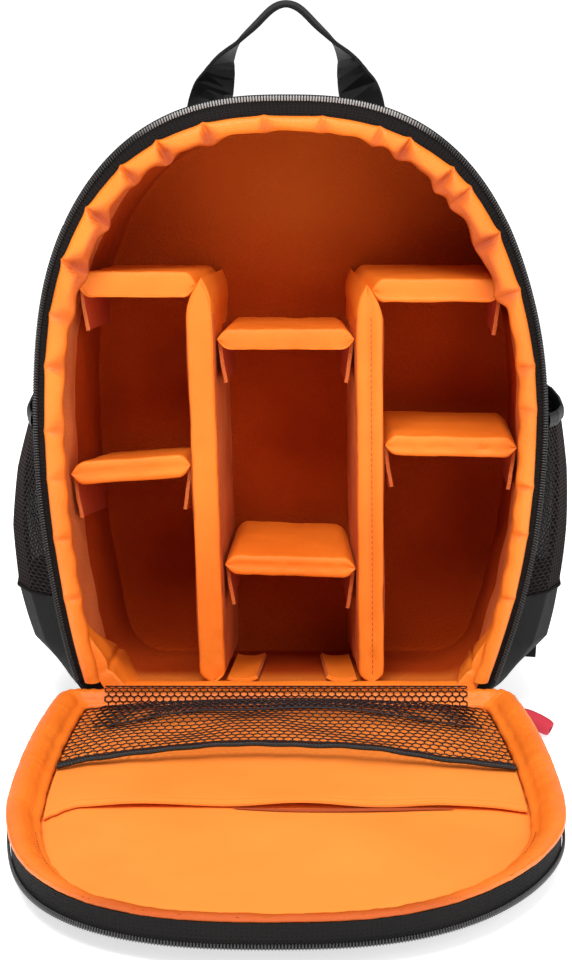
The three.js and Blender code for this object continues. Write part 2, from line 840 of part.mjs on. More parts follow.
// A flat piece from a front to a back rectangle, each given by its y and its limits in x and z.
function flatPiece(ends) {
  return loft(
    ends.map(({ y, x, z }) => [
      new THREE.Vector3(x[0], y, z[0]),
      new THREE.Vector3(x[1], y, z[0]),
      new THREE.Vector3(x[1], y, z[1]),
      new THREE.Vector3(x[0], y, z[1]),
    ]),
    { cap: "strip" },
  );
}

function addShelf(shelf) {
  const middleZ = shelf.height * bodyHeight - shelf.thickness / 2;
  const drop = (y) => y * slopeOf(shelf.pitch);
  const endAt = (side, y) => shelfEndX(shelf, side, middleZ - drop(y), shelfFront + y);
  const middleX = (endAt(-1, 0) + endAt(1, 0)) / 2;
  const heightAt = (x, y) => middleZ + (x - middleX) * slopeOf(shelf.roll) - drop(y);
  const geometry = stuffedSlab({
    depth: shelfDepth,
    thickness: shelf.thickness,
    from: (y) => endAt(-1, y),
    to: (y) => endAt(1, y),
    place: (w, y, t) => new THREE.Vector3(w, mouthY + shelfFront + y, heightAt(w, y) + t),
  });
  add(`shelf_${shelf.name}`, geometry, orange);
  for (const [side, word] of [[-1, "left"], [1, "right"]]) {
    if (shelf[word] === "over") continue;
    const ends = [tabInset, shelfDepth - tabInset].map((y) => {
      const near = endAt(side, y);
      const far = near - side * tabThickness;
      const top = heightAt(near, y) - tabDrop * shelf.thickness;
      return {
        y: mouthY + shelfFront + y,
        x: [Math.min(near, far), Math.max(near, far)],
        z: [top - tabHeight, top],
      };
    });
    add(`tab_${shelf.name}_${word}`, flatPiece(ends), darkOrange);
  }
}

// Hook tabs that hold the dividers to the compartment's floor.
function addFloorTab(side, inward) {
  const divider = dividers[side];
  const beside = dividerThickness / 2 + looseGap;
  const ends = [floorTabSetBack, dividerDepth - floorTabBackRoom].map((y) => {
    const low = innerFloorZ(dividerSetBack + y) + sewnGap;
    const near = dividerX(divider, low, y) + inward * beside;
    const far = near + inward * floorTabWidth;
    return {
      y: mouthY + dividerSetBack + y,
      x: [Math.min(near, far), Math.max(near, far)],
      z: [low, low + tabThickness],
    };
  });
  add(`floor_tab_${side}`, flatPiece(ends), darkOrange);
}

// Side pockets: how far they stand out as shares of the bulge, up the pocket and along its depth.
const pocketRises = [
  { up: 0, left: 0, right: 0 },
  { up: 0.02, left: 0.16, right: 0.36 },
  { up: 0.08, left: 0.36, right: 0.6 },
  { up: 0.18, left: 0.86, right: 1.07 },
  { up: 0.37, left: 0.97, right: 0.96 },
  { up: 0.6, left: 0.84, right: 0.81 },
  { up: 0.82, left: 0.52, right: 0.62 },
  { up: 1, left: 0.13, right: 0.4 },
];
const pocketSpans = [
  { along: 0, out: 0 },
  { along: 0.1, out: 0.6 },
  { along: 0.26, out: 0.94 },
  { along: 0.5, out: 1 },
  { along: 0.76, out: 0.84 },
  { along: 0.92, out: 0.45 },
  { along: 1, out: 0 },
];
const pocketSides = { left: -1, right: 1 };
const pocketDepth = bodyDepth - pocketFrontMargin - pocketBackMargin;

function pocketPoint(side, z, along, outwards) {
  const depth = pocketFrontMargin + pocketDepth * along;
  const up = (z - pocketBottom) / (pocketTop - pocketBottom);
  const out = pocketBulge * lookUp(pocketRises, "up", side, up) * lookUp(pocketSpans, "along", "out", along);
  const skin = bodyX(pocketSides[side], z, depth, lookUp(skinRows, "depth", "inset", depth), 0);
  return new THREE.Vector3(skin + pocketSides[side] * (looseGap + out + outwards), mouthY + depth, z);
}

function pocketRing(side, z) {
  const alongs = pocketSpans.map((span) => span.along);
  return [
    ...alongs.map((along) => pocketPoint(side, z, along, pocketWall)),
    ...alongs.map((along) => pocketPoint(side, z, along, 0)).reverse(),
  ];
}

function addPocket(side) {
  const heightAt = (up) => pocketBottom + (pocketTop - pocketBottom) * up;
  const clothShare = (pocketClothTop - pocketBottom) / (pocketTop - pocketBottom);
  const ups = [...pocketRises.map((row) => row.up).filter((up) => up < clothShare), clothShare];
  const cloth = loft(ups.map((up) => pocketRing(side, heightAt(up))), { cap: "strip" });
  add(`side_pocket_${side}`, cloth, black);

  const netLow = pocketClothTop + sewnGap;
  const net = netSheet(
    (u, v, face) => {
      const z = netLow + (pocketTop - netLow) * v;
      return pocketPoint(side, z, (u + 1) / 2, face * netThickness);
    },
    3,
    5,
  );
  add(`side_net_${side}`, net, black);

  const hemLow = pocketTop + sewnGap;
  const hem = loft(
    pocketSpans.map(({ along }) => {
      const edge = pocketPoint(side, pocketTop, along, 0);
      const outer = edge.x + pocketSides[side] * pocketHemThickness;
      return [
        new THREE.Vector3(outer, edge.y, hemLow),
        new THREE.Vector3(outer, edge.y, hemLow + pocketHemHeight),
        new THREE.Vector3(edge.x, edge.y, hemLow + pocketHemHeight),
        new THREE.Vector3(edge.x, edge.y, hemLow),
      ];
    }),
  );
  add(`pocket_hem_${side}`, hem, black);
}

// Sections of bands, in shares of half the width and half the thickness.
const flatSection = [
  [-1, -1],
  [1, -1],
  [1, 1],
  [-1, 1],
];
const paddedSection = [
  [-1, -0.4],
  [-0.84, -1],
  [0.84, -1],
  [1, -0.4],
  [1, 0.4],
  [0.84, 1],
  [-0.84, 1],
  [-1, 0.4],
];

// A band along a route. across gives the direction of its width at a share of the route.
function band({ route, steps, section, width, thickness, across }) {
  return loft(
    spread(0, 1, steps).map((share) => {
      const middle = route.getPoint(share);
      const along = route.getTangent(share).normalize();
      const wide = across(share, along).normalize();
      const normal = new THREE.Vector3().crossVectors(along, wide).normalize();
      return section.map(([a, b]) =>
        middle
          .clone()
          .addScaledVector(wide, (a * width(share)) / 2)
          .addScaledVector(normal, (b * thickness) / 2),
      );
    }),
  );
}

// The handle's left half, from its foot to the top of its arch: across as a share of the half span, rise above
// the body's top as a share of the handle's rise, and the band's twist in degrees.
const handleStations = [
  { across: -1.12, rise: -1.4, twist: 0 },
  { across: -1, rise: -0.39, twist: 0 },
  { across: -0.87, rise: 0, twist: 45 },
  { across: -0.79, rise: 0.23, twist: 68 },
  { across: -0.63, rise: 0.46, twist: 88 },
  { across: -0.38, rise: 0.71, twist: 92 },
  { across: -0.18, rise: 0.93, twist: 92 },
  { across: 0, rise: 1, twist: 90 },
];

function makeHandle() {
  const y = backY + sewnGap + handleThickness / 2;
  const leftHalf = handleStations.map(({ across, rise }) => {
    return new THREE.Vector3(across * handleHalfSpan, y, bodyHeight + rise * handleRise);
  });
  const rightHalf = leftHalf.slice(0, -1).reverse().map((p) => new THREE.Vector3(-p.x, p.y, p.z));
  const route = new THREE.CatmullRomCurve3([...leftHalf, ...rightHalf]);
  const half = handleStations.length - 1;
  const twists = handleStations.map(({ twist }, i) => ({ share: i / (2 * half), twist }));
  return band({
    route,
    steps: 4 * half,
    section: flatSection,
    width: () => handleWidth,
    thickness: handleThickness,
    across: (share, along) => {
      const twist = lookUp(twists, "share", "twist", Math.min(share, 1 - share));
      const angle = THREE.MathUtils.degToRad(twist);
      const inPlane = new THREE.Vector3(along.z, 0, -along.x).multiplyScalar(Math.cos(angle));
      return inPlane.addScaledVector(new THREE.Vector3(0, 1, 0), Math.sin(angle));
    },
  });
}

function makeBackPad() {
  const near = bodyDepth + sewnGap;
  return bodyLoft([
    { depth: near, inset: backPadInset + 0.5 * backPadRound },
    { depth: near + 0.35 * backPadThickness, inset: backPadInset },
    { depth: near + 0.8 * backPadThickness, inset: backPadInset + 0.2 * backPadRound },
    { depth: near + backPadThickness, inset: backPadInset + backPadRound },
  ]);
}

// Shoulder straps: across as a share of the body's half width, off the pad as a share of the stand-off, and up
// as a share of the height of the body's back.
const strapStations = [
  { across: 0.23, off: 0, up: 0.87 },
  { across: 0.26, off: 0.14, up: 0.83 },
  { across: 0.35, off: 0.72, up: 0.71 },
  { across: 0.45, off: 1, up: 0.58 },
  { across: 0.51, off: 0.92, up: 0.45 },
  { across: 0.52, off: 0.62, up: 0.34 },
];
const strapFace = backY + sewnGap + backPadThickness + sewnGap + strapThickness / 2;

function strapPoint(side, { across, off, up }) {
  return new THREE.Vector3(
    side * across * bodyHalfWidth,
    strapFace + off * strapStandOff,
    up * bodyHeight * heightShare(bodyDepth),
  );
}

// Cloth tabs that hold the straps' webbing at the lower corners of the back.
const wingY = backY + sewnGap + wingThickness / 2;
const footHalfWidth = bodyHalfWidth * (1 - bodyTaper);

function makeWing(side, reach) {
  const root = side * (footHalfWidth - backEdgeRadius - bodyCornerRadius);
  const tip = side * (footHalfWidth + reach);
  const shape = new THREE.Shape();
  shape.moveTo(root, wingLow + 0.2 * wingHeight);
  shape.lineTo(tip, wingLow);
  shape.lineTo(tip + side, wingLow + wingTipHeight);
  shape.lineTo(root, wingLow + wingHeight);
  shape.closePath();
  const geometry = new THREE.ExtrudeGeometry(shape, { depth: wingThickness, bevelEnabled: false });
  geometry.rotateX(quarterTurn);
  return geometry.translate(0, wingY + wingThickness / 2, 0);
}

function makeBuckle() {
  const shape = new THREE.Shape();
  const half = buckleWidth / 2;
  const corner = buckleWidth / 8;
  shape.moveTo(-half, -buckleHeight / 2 + corner);
  shape.lineTo(-half, buckleHeight / 2 - corner);
  shape.lineTo(-half + corner, buckleHeight / 2);
  shape.lineTo(half - corner, buckleHeight / 2);
  shape.lineTo(half, buckleHeight / 2 - corner);
  shape.lineTo(half, -buckleHeight / 2 + corner);
  shape.lineTo(half - corner, -buckleHeight / 2);
  shape.lineTo(-half + corner, -buckleHeight / 2);
  shape.closePath();
  const slotHalf = webbingWidth / 2 + 1;
  for (const middle of [-buckleHeight / 5, buckleHeight / 5]) {
    const slot = new THREE.Path();
    slot.moveTo(-slotHalf, middle - buckleSlot / 2);
    slot.lineTo(slotHalf, middle - buckleSlot / 2);
    slot.lineTo(slotHalf, middle + buckleSlot / 2);
    slot.lineTo(-slotHalf, middle + buckleSlot / 2);
    slot.closePath();
    shape.holes.push(slot);
  }
  const geometry = new THREE.ExtrudeGeometry(shape, { depth: buckleThickness, bevelEnabled: false });
  return geometry.translate(0, 0, -buckleThickness / 2);
}

function addStrap(word, side, reach) {
  const sideways = () => new THREE.Vector3(1, 0, 0);
  const route = new THREE.CatmullRomCurve3(strapStations.map((row) => strapPoint(side, row)));
  const strap = band({
    route,
    steps: 14,
    section: paddedSection,
    width: (share) => strapWidth + (strapEndWidth - strapWidth) * share ** 3,
    thickness: strapThickness,
    across: sideways,
  });
  add(`strap_${word}`, strap, black);
  add(`wing_${word}`, makeWing(side, reach), black);

  const end = route.getPoint(1);
  const down = route.getTangent(1).normalize();
  const buckle = add(`buckle_${word}`, makeBuckle(), black, 0.45);
  buckle.position.copy(end).addScaledVector(down, sewnGap + buckleHeight / 2);
  buckle.rotation.x = Math.atan2(-down.y, -down.z) + quarterTurn;

  const start = end.clone().addScaledVector(down, 2 * sewnGap + buckleHeight);
  const anchor = new THREE.Vector3(
    side * (footHalfWidth + Math.min(reach - webbingWidth, 0)),
    wingY + (wingThickness + webbingThickness) / 2 + sewnGap,
    wingLow + 0.5 * wingHeight,
  );
  const overPad = new THREE.Vector3(
    (start.x + anchor.x) / 2,
    strapFace + webbingThickness,
    backPadInset + webbingWidth / 2,
  );
  const web = new THREE.CatmullRomCurve3([start, overPad, anchor]);
  add(
    `web_${word}`,
    band({
      route: web,
      steps: 14,
      section: flatSection,
      width: () => webbingWidth,
      thickness: webbingThickness,
      across: (share) => new THREE.Vector3(1, 0, side * webbingTurn * share),
    }),
    black,
  );
}

// Zip sliders, parked past the two ends of the front panel's zip.
const sliderX = sideX(lid, lidZipRoom - sewnGap, lidCornerRadius);
const sliderY = lidY - lidCornerRadius + sewnGap + sliderLength / 2;
const sliderZ = lidTapeLow + coilWidth / 2;

function addSlider(word, side) {
  const shape = new THREE.Shape();
  const half = sliderWidth / 2;
  shape.moveTo(-0.55 * half, -sliderLength / 2);
  shape.lineTo(0.55 * half, -sliderLength / 2);
  shape.lineTo(half, -0.1 * sliderLength);
  shape.lineTo(half, 0.36 * sliderLength);
  shape.lineTo(0.5 * half, sliderLength / 2);
  shape.lineTo(-0.5 * half, sliderLength / 2);
  shape.lineTo(-half, 0.36 * sliderLength);
  shape.lineTo(-half, -0.1 * sliderLength);
  shape.closePath();
  const geometry = new THREE.ExtrudeGeometry(shape, { depth: sliderThickness, bevelEnabled: false });
  geometry.rotateY(quarterTurn);
  if (side < 0) geometry.translate(-sliderThickness, 0, 0);
  add(`zip_slider_${word}`, geometry.translate(side * sliderX, sliderY, sliderZ), 0x3a3a3a, 0.4, 0.8);
}

// The pull on the right slider: a round moulded bar with an eye in its free end, along its length as shares
// of the length and round it as shares of the width.
const pullRows = [
  { along: 0, wide: 0.45 },
  { along: 0.14, wide: 0.8 },
  { along: 0.5, wide: 1 },
  { along: 0.9, wide: 1 },
  { along: 1, wide: 0.8 },
];
const pullSides = 12;

function makePull() {
  const start = new THREE.Vector3(sliderX + sliderThickness + 2, sliderY, sliderZ);
  const end = new THREE.Vector3(pullEndX, pullEndY, pullWidth / 2 + sewnGap);
  const axis = end.clone().sub(start);
  const level = new THREE.Vector3(-axis.y, axis.x, 0).normalize();
  const upright = new THREE.Vector3().crossVectors(axis, level).normalize();
  const ring = (along, radius) =>
    Array.from({ length: pullSides }, (_, i) => {
      const angle = (4 * quarterTurn * i) / pullSides;
      return start
        .clone()
        .addScaledVector(axis, along)
        .addScaledVector(level, radius * Math.cos(angle))
        .addScaledVector(upright, radius * Math.sin(angle));
    });
  return loft([
    ...pullRows.map((row) => ring(row.along, (row.wide * pullWidth) / 2)),
    ring(1, pullEyeWidth / 2),
    ring(1 - pullEyeDepth / axis.length(), pullEyeWidth / 2),
  ]);
}

add("shell", makeShell(), black);
add("lining", makeLining(), orange);
add("mouth_tape", makeMouthTape(), black);
add("mouth_coil", makeMouthCoil(), 0x8a8a88, 0.5);
add("mouth_roll", makeMouthRoll(), orange);
add("lid_shell", makeLidShell(), black);
add("lid_pad", makeLidPad(), orange);
add("lid_roll", makeLidRoll(), orange);
add("lid_tape", makeLidTape(), black);
add("lid_coil", makeLidCoil(), 0x2a2a2a, 0.5);
add("hinge_flap", makeHingeFlap(), orange);
add("slip_pocket", clothSheet(slipSurface, spread(-1, 1, 16), [0, 0.4, 0.75, 0.9, 1]), orange);
add("net_pocket", netSheet(netSurface, 12, 6), black);
add("net_band", makeNetBand(), black);
addDivider("left");
addDivider("right");
shelves.forEach(addShelf);
addFloorTab("left", 1);
addFloorTab("right", -1);
addPocket("left");
addPocket("right");
add("handle", makeHandle(), black);
add("back_pad", makeBackPad(), black);
addStrap("left", -1, wingReachLeft);
addStrap("right", 1, wingReachRight);
addSlider("left", -1);
addSlider("right", 1);
add("zip_pull", makePull(), 0xa02030, 0.6);

export default part;
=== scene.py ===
"""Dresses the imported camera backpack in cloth, net, zip and webbing, and sets it in a plain studio."""

import logging
import math
from collections.abc import Callable, Iterator, Sequence
from contextlib import contextmanager
from dataclasses import dataclass, field
from enum import Enum

import bpy
import numpy as np
from mathutils import Euler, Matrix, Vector
from mathutils.kdtree import KDTree


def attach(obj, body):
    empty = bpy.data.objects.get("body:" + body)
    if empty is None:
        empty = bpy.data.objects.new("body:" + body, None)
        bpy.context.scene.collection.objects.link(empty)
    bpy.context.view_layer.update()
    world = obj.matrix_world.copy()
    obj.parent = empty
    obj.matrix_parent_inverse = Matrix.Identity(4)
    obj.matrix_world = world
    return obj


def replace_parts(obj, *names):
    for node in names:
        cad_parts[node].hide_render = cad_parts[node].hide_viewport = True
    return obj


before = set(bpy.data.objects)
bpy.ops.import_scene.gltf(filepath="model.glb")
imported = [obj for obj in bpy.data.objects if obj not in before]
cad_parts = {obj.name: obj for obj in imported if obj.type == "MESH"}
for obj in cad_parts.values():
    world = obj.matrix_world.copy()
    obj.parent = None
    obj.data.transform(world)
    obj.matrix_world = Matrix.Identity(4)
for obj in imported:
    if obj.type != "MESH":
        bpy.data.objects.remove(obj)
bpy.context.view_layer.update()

log = logging.getLogger("backpack")
MM = 0.001
Array = np.ndarray
Rule = Callable[[Array, Array], Array]


# Mesh tools


def clear_selection() -> None:
    """Leaves edit mode and deselects everything."""
    if bpy.context.object and bpy.context.object.mode != "OBJECT":
        bpy.ops.object.mode_set(mode="OBJECT")
    bpy.ops.object.select_all(action="DESELECT")


def take(piece: bpy.types.Object) -> None:
    """Selects one piece alone and makes it active.

    Args:
        piece: The piece to select.
    """
    clear_selection()
    piece.select_set(True)
    bpy.context.view_layer.objects.active = piece


@contextmanager
def edit(piece: bpy.types.Object) -> Iterator[None]:
    """Opens a piece in edit mode with all of it selected.

    Args:
        piece: The piece to open.
    """
    take(piece)
    bpy.ops.object.mode_set(mode="EDIT")
    bpy.ops.mesh.select_all(action="SELECT")
    try:
        yield
    finally:
        bpy.ops.object.mode_set(mode="OBJECT")


def apply_modifier(piece: bpy.types.Object, kind: str, **settings: object) -> None:
    """Adds a modifier and applies it.

    Args:
        piece: The object to change.
        kind: The modifier's type.
        settings: Values of the modifier's properties.
    """
    take(piece)
    modifier = piece.modifiers.new(kind.title(), kind)
    for name, value in settings.items():
        setattr(modifier, name, value)
    bpy.ops.object.modifier_apply(modifier=modifier.name)


def points_of(piece: bpy.types.Object) -> Array:
    """Returns a piece's vertices in millimetres, one row each.

    Args:
        piece: The piece to read.

    Returns:
        The points.
    """
    flat = np.empty(3 * len(piece.data.vertices))
    piece.data.vertices.foreach_get("co", flat)
    return flat.reshape(-1, 3) / MM


def put_points(piece: bpy.types.Object, points: Array) -> None:
    """Places a piece's vertices, given in millimetres."""
    piece.data.vertices.foreach_set("co", (points * MM).astype(np.float32).ravel())
    piece.data.update()


def smooth(piece: bpy.types.Object, angle: float = 40) -> None:
    """Shades a piece smooth up to an angle in degrees."""
    take(piece)
    bpy.ops.object.shade_smooth_by_angle(angle=math.radians(angle))


def grid(name: str, columns: int, rows: int) -> bpy.types.Object:
    """Adds a flat unit grid whose vertices run from 0 to 1 along X and Y, in millimetres.

    Args:
        name: The new object's name.
        columns: Faces along the first direction.
        rows: Faces along the second direction.

    Returns:
        The grid.
    """
    clear_selection()
    bpy.ops.mesh.primitive_grid_add(x_subdivisions=columns, y_subdivisions=rows, size=MM)
    piece = bpy.context.object
    piece.name = piece.data.name = name
    put_points(piece, points_of(piece) + [0.5, 0.5, 0])
    return piece


class Join(Enum):
    """Which opposite edges of a shaped grid meet."""

    NONE = "none"
    AROUND = "around"


def shaped(
    name: str,
    columns: int,
    rows: int,
    rule: Rule,
    thickness: float = 0,
    join: Join = Join.NONE,
) -> bpy.types.Object:
    """Bends a grid into a cloth surface.

    Args:
        name: The new object's name.
        columns: Faces along u.
        rows: Faces along v.
        rule: Gives the points, in millimetres, for arrays of u and v from 0 to 1.
        thickness: The cloth's thickness in millimetres, or 0 to leave the surface open.
        join: Whether edges that meet are merged into a closed form.

    Returns:
        The finished surface.
    """
    piece = grid(name, columns, rows)
    flat = points_of(piece)
    put_points(piece, rule(flat[:, 0].clip(0, 1), flat[:, 1].clip(0, 1)))
    if join is Join.AROUND:
        with edit(piece):
            bpy.ops.mesh.remove_doubles(threshold=0.02 * MM)
            bpy.ops.mesh.normals_make_consistent(inside=False)
    if thickness:
        apply_modifier(piece, "SOLIDIFY", thickness=thickness * MM, offset=0, use_even_offset=False)
        with edit(piece):
            bpy.ops.mesh.normals_make_consistent(inside=False)
    smooth(piece)
    return piece


def copy_node(node: str, name: str, levels: int = 0, crease: float = 0) -> bpy.types.Object:
    """Copies a CAD node's mesh into a new piece, merges it and rounds it.

    Args:
        node: The CAD node.
        name: The new piece's name.
        levels: Subdivision levels.
        crease: How sharply its sharp edges stay, from 0 to 1.

    Returns:
        The new piece.
    """
    piece = bpy.data.objects.new(name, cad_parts[node].data.copy())
    bpy.context.collection.objects.link(piece)
    piece.data.materials.clear()
    with edit(piece):
        bpy.ops.mesh.remove_doubles(threshold=0.01 * MM)
        bpy.ops.mesh.customdata_custom_splitnormals_clear()
        bpy.ops.mesh.tris_convert_to_quads(
            face_threshold=math.radians(50), shape_threshold=math.radians(60)
        )
        if crease:
            bpy.ops.mesh.select_mode(type="EDGE")
            bpy.ops.mesh.select_all(action="DESELECT")
            bpy.ops.mesh.edges_select_sharp(sharpness=math.radians(35))
            bpy.ops.transform.edge_crease(value=crease)
    if levels:
        apply_modifier(piece, "SUBSURF", levels=levels, render_levels=levels)
    smooth(piece)
    return piece


def joined(name: str, pieces: Sequence[bpy.types.Object]) -> bpy.types.Object:
    """Joins pieces into the first one and names it.

    Args:
        name: The joined piece's name.
        pieces: The pieces to join.

    Returns:
        The joined piece.
    """
    clear_selection()
    for piece in pieces:
        piece.select_set(True)
    bpy.context.view_layer.objects.active = pieces[0]
    bpy.ops.object.join()
    pieces[0].name = pieces[0].data.name = name
    return pieces[0]


def ripple(points: Array, size: float, seed: int) -> Array:
    """Gives a smooth wavy value from -1 to 1 at each point.

    Args:
        points: The points in millimetres.
        size: The usual distance between crests in millimetres.
        seed: Picks the pattern.

    Returns:
        One value for each point.
    """
    chance = np.random.default_rng(seed)
    total = np.zeros(len(points))
    for _ in range(7):
        way = chance.normal(size=3)
        way *= 2 * math.pi / (size * chance.uniform(0.7, 1.5)) / np.linalg.norm(way)
        total += np.sin(points @ way + chance.uniform(0, 2 * math.pi))
    return total / 4


def dip(value: Array, middle: Array, width: Array) -> Array:
    """Returns a smooth bump of height 1 round a middle value."""
    return np.exp(-(((value - middle) / width) ** 2))


class Route:
    """A path through points that can be read by its length."""

    def __init__(self, points: Array) -> None:
        """Measures the path.

        Args:
            points: Its points in millimetres, one row each.
        """
        self.points = np.asarray(points, float)
        steps = np.linalg.norm(np.diff(self.points, axis=0), axis=1)
        self.lengths = np.concatenate([[0], np.cumsum(steps)])
        self.length = float(self.lengths[-1])

    def at(self, distance: Array) -> Array:
        """Returns the points at distances along the path."""
        return np.stack([np.interp(distance, self.lengths, self.points[:, i]) for i in range(3)], axis=-1)

    def heading(self, distance: Array, reach: float = 0.5) -> Array:
        """Returns the unit directions of the path at distances along it."""
        way = self.at(distance + reach) - self.at(distance - reach)
        return way / np.linalg.norm(way, axis=-1, keepdims=True).clip(1e-9)


def repeated(
    name: str, model: bpy.types.Object, places: Array, along: Array, up: Array
) -> bpy.types.Object:
    """Sets copies of a small model along a row and joins them into one piece.

    Args:
        name: The joined piece's name.
        model: The model, with its length on X and its top on Z; it is removed.
        places: The middle of each copy in millimetres.
        along: The unit direction of each copy's length.
        up: Roughly the direction of each copy's top.

    Returns:
        The joined piece.
    """
    side = np.cross(up, along)
    side /= np.linalg.norm(side, axis=1, keepdims=True).clip(1e-9)
    top = np.cross(along, side)
    shape = points_of(model)
    points = (
        places[:, None, :]
        + shape[None, :, 0:1] * along[:, None, :]
        + shape[None, :, 1:2] * side[:, None, :]
        + shape[None, :, 2:3] * top[:, None, :]
    )
    faces = [tuple(polygon.vertices) for polygon in model.data.polygons]
    count = len(shape)
    all_faces = [tuple(i + n * count for i in face) for n in range(len(places)) for face in faces]
    mesh = bpy.data.meshes.new(name)
    mesh.from_pydata((points.reshape(-1, 3) * MM).tolist(), [], all_faces)
    piece = bpy.data.objects.new(name, mesh)
    bpy.context.collection.objects.link(piece)
    bpy.data.objects.remove(model)
    smooth(piece, 50)
    return piece


def capsule(length: float, width: float, height: float) -> bpy.types.Object:
    """Adds a small rounded bar at the origin, such as a stitch or a zip tooth.

    Args:
        length: Its size along X in millimetres.
        width: Its size along Y.
        height: Its size along Z.

    Returns:
        The bar.
    """
    clear_selection()
    bpy.ops.mesh.primitive_cube_add(size=MM)
    bar = bpy.context.object
    put_points(bar, points_of(bar) * [length, width, height])
    with edit(bar):
        bpy.ops.mesh.bevel(offset=0.42 * min(width, height) * MM, segments=1, affect="EDGES")
    return bar


def spread(route: Route, pitch: float) -> Array:
    """Returns the middles of copies set evenly along a route, about a pitch apart."""
    count = max(2, int(route.length / pitch))
    return (np.arange(count) + 0.5) * route.length / count


def stitches(
    name: str,
    route: Route,
    up: Array,
    pitch: float = 3.2,
    length: float = 2.1,
    width: float = 0.55,
) -> bpy.types.Object:
    """Sews a row of stitches along a route.

    Args:
        name: The new piece's name.
        route: The path on the cloth.
        up: The cloth's outward direction, one for all or one for each stitch.
        pitch: The distance from stitch to stitch in millimetres.
        length: The length of a stitch.
        width: The thickness of the thread.

    Returns:
        The row.
    """
    distances = spread(route, pitch)
    return repeated(
        name,
        capsule(length, width, 0.75 * width),
        route.at(distances),
        route.heading(distances),
        np.broadcast_to(np.asarray(up, float), (len(distances), 3)),
    )


def tube(name: str, route: Route, radius: float, step: float = 2, sides: int = 8) -> bpy.types.Object:
    """Runs a round piping along a route.

    Args:
        name: The new piece's name.
        route: The path of its middle.
        radius: The piping's radius in millimetres.
        step: The distance between its rings.
        sides: Faces round it.

    Returns:
        The piping, closed at both ends.
    """

    def rule(u: Array, v: Array) -> Array:
        """Places the piping's skin.

        Args:
            u: Shares along it.
            v: Shares across it.

        Returns:
            The points.
        """
        distance = u * route.length
        way = route.heading(distance, step)
        helper = np.where(np.abs(way[:, 2:3]) > 0.9, [[0.0, 1.0, 0.0]], [[0.0, 0.0, 1.0]])
        side = np.cross(way, helper)
        side /= np.linalg.norm(side, axis=1, keepdims=True).clip(1e-9)
        top = np.cross(side, way)
        ends = np.sqrt(np.clip(np.minimum(distance, route.length - distance) / radius, 0, 1))
        angle = 2 * math.pi * v
        ring = np.cos(angle)[:, None] * side + np.sin(angle)[:, None] * top
        return route.at(distance) + radius * ends[:, None] * ring

    return shaped(name, max(4, int(route.length / step)), sides, rule, join=Join.AROUND)


def paint_light_and_shade(piece: bpy.types.Object, values: Array) -> None:
    """Writes painted light and shade at each vertex, which the finishes blend towards their folded colour.

    Args:
        piece: The piece to mark.
        values: One value from 0 to 1 for each vertex.
    """
    # The "fold" attribute holds painted light and shade, not how deep a fold is.
    layer = piece.data.attributes.new("fold", "FLOAT", "POINT")
    layer.data.foreach_set("value", np.clip(values, 0, 1).astype(np.float32))


def paint_faces(piece: bpy.types.Object, index: int, test: Callable[[Array, Array], Array]) -> None:
    """Gives a material slot to the faces that a test picks.

    Args:
        piece: The piece to paint.
        index: The material slot.
        test: Told the faces' middles in millimetres and their normals, says which to paint.
    """
    count = len(piece.data.polygons)
    middles = np.empty(3 * count)
    normals = np.empty(3 * count)
    piece.data.polygons.foreach_get("center", middles)
    piece.data.polygons.foreach_get("normal", normals)
    slots = np.zeros(count, dtype=np.int32)
    piece.data.polygons.foreach_get("material_index", slots)
    slots[test(middles.reshape(-1, 3) / MM, normals.reshape(-1, 3))] = index
    piece.data.polygons.foreach_set("material_index", slots)


# Finishes


class Socket(Enum):
    """Kinds of value that a node group passes."""

    NUMBER = "NodeSocketFloat"
    COLOUR = "NodeSocketColor"


class NodeSheet:
    """Writes nodes into a tree by short calls."""

    def __init__(self, tree: bpy.types.NodeTree) -> None:
        """Starts on a node tree."""
        self.tree = tree

    def add(self, kind: str, *, out: int | str = 0, **values: object) -> bpy.types.NodeSocket:
        """Adds a node and returns one of its outputs.

        Args:
            kind: The node's type without the ShaderNode prefix.
            out: The output to return.
            values: Properties in lower case, and inputs as in_0 or in_Name with a value or a socket.

        Returns:
            The output socket.
        """
        node = self.tree.nodes.new(f"ShaderNode{kind}")
        for name, value in values.items():
            if not name.startswith("in_"):
                setattr(node, name, value)
        for name, value in values.items():
            if name.startswith("in_"):
                key = name[3:].replace("_", " ")
                self.feed(node.inputs[int(key) if key.isdigit() else key], value)
        return node.outputs[out]

    def feed(self, socket: bpy.types.NodeSocket, value: object) -> None:
        """Links a socket into an input or sets the input's value.

        Args:
            socket: The input.
            value: A socket to link or a plain value.
        """
        if isinstance(value, bpy.types.NodeSocket):
            self.tree.links.new(value, socket)
        else:
            socket.default_value = value

    def blend(self, factor: object, low: object, high: object) -> bpy.types.NodeSocket:
        """Mixes two colours by a factor.

        Args:
            factor: The share of the second colour.
            low: The first colour.
            high: The second colour.

        Returns:
            The mixed colour.
        """
        node = self.tree.nodes.new("ShaderNodeMix")
        node.data_type = "RGBA"
        self.feed(node.inputs["Factor"], factor)
        self.feed(node.inputs[6], low)
        self.feed(node.inputs[7], high)
        return node.outputs[2]

    def maths(self, operation: str, a: object, b: object = 0.0) -> bpy.types.NodeSocket:
        """Works out one step of arithmetic."""
        return self.add("Math", operation=operation, in_0=a, in_1=b)

    def ramp(self, value: object, low: float, high: float) -> bpy.types.NodeSocket:
        """Stretches a value's range from low to high over 0 to 1."""
        return self.add("MapRange", in_Value=value, in_From_Min=low, in_From_Max=high)


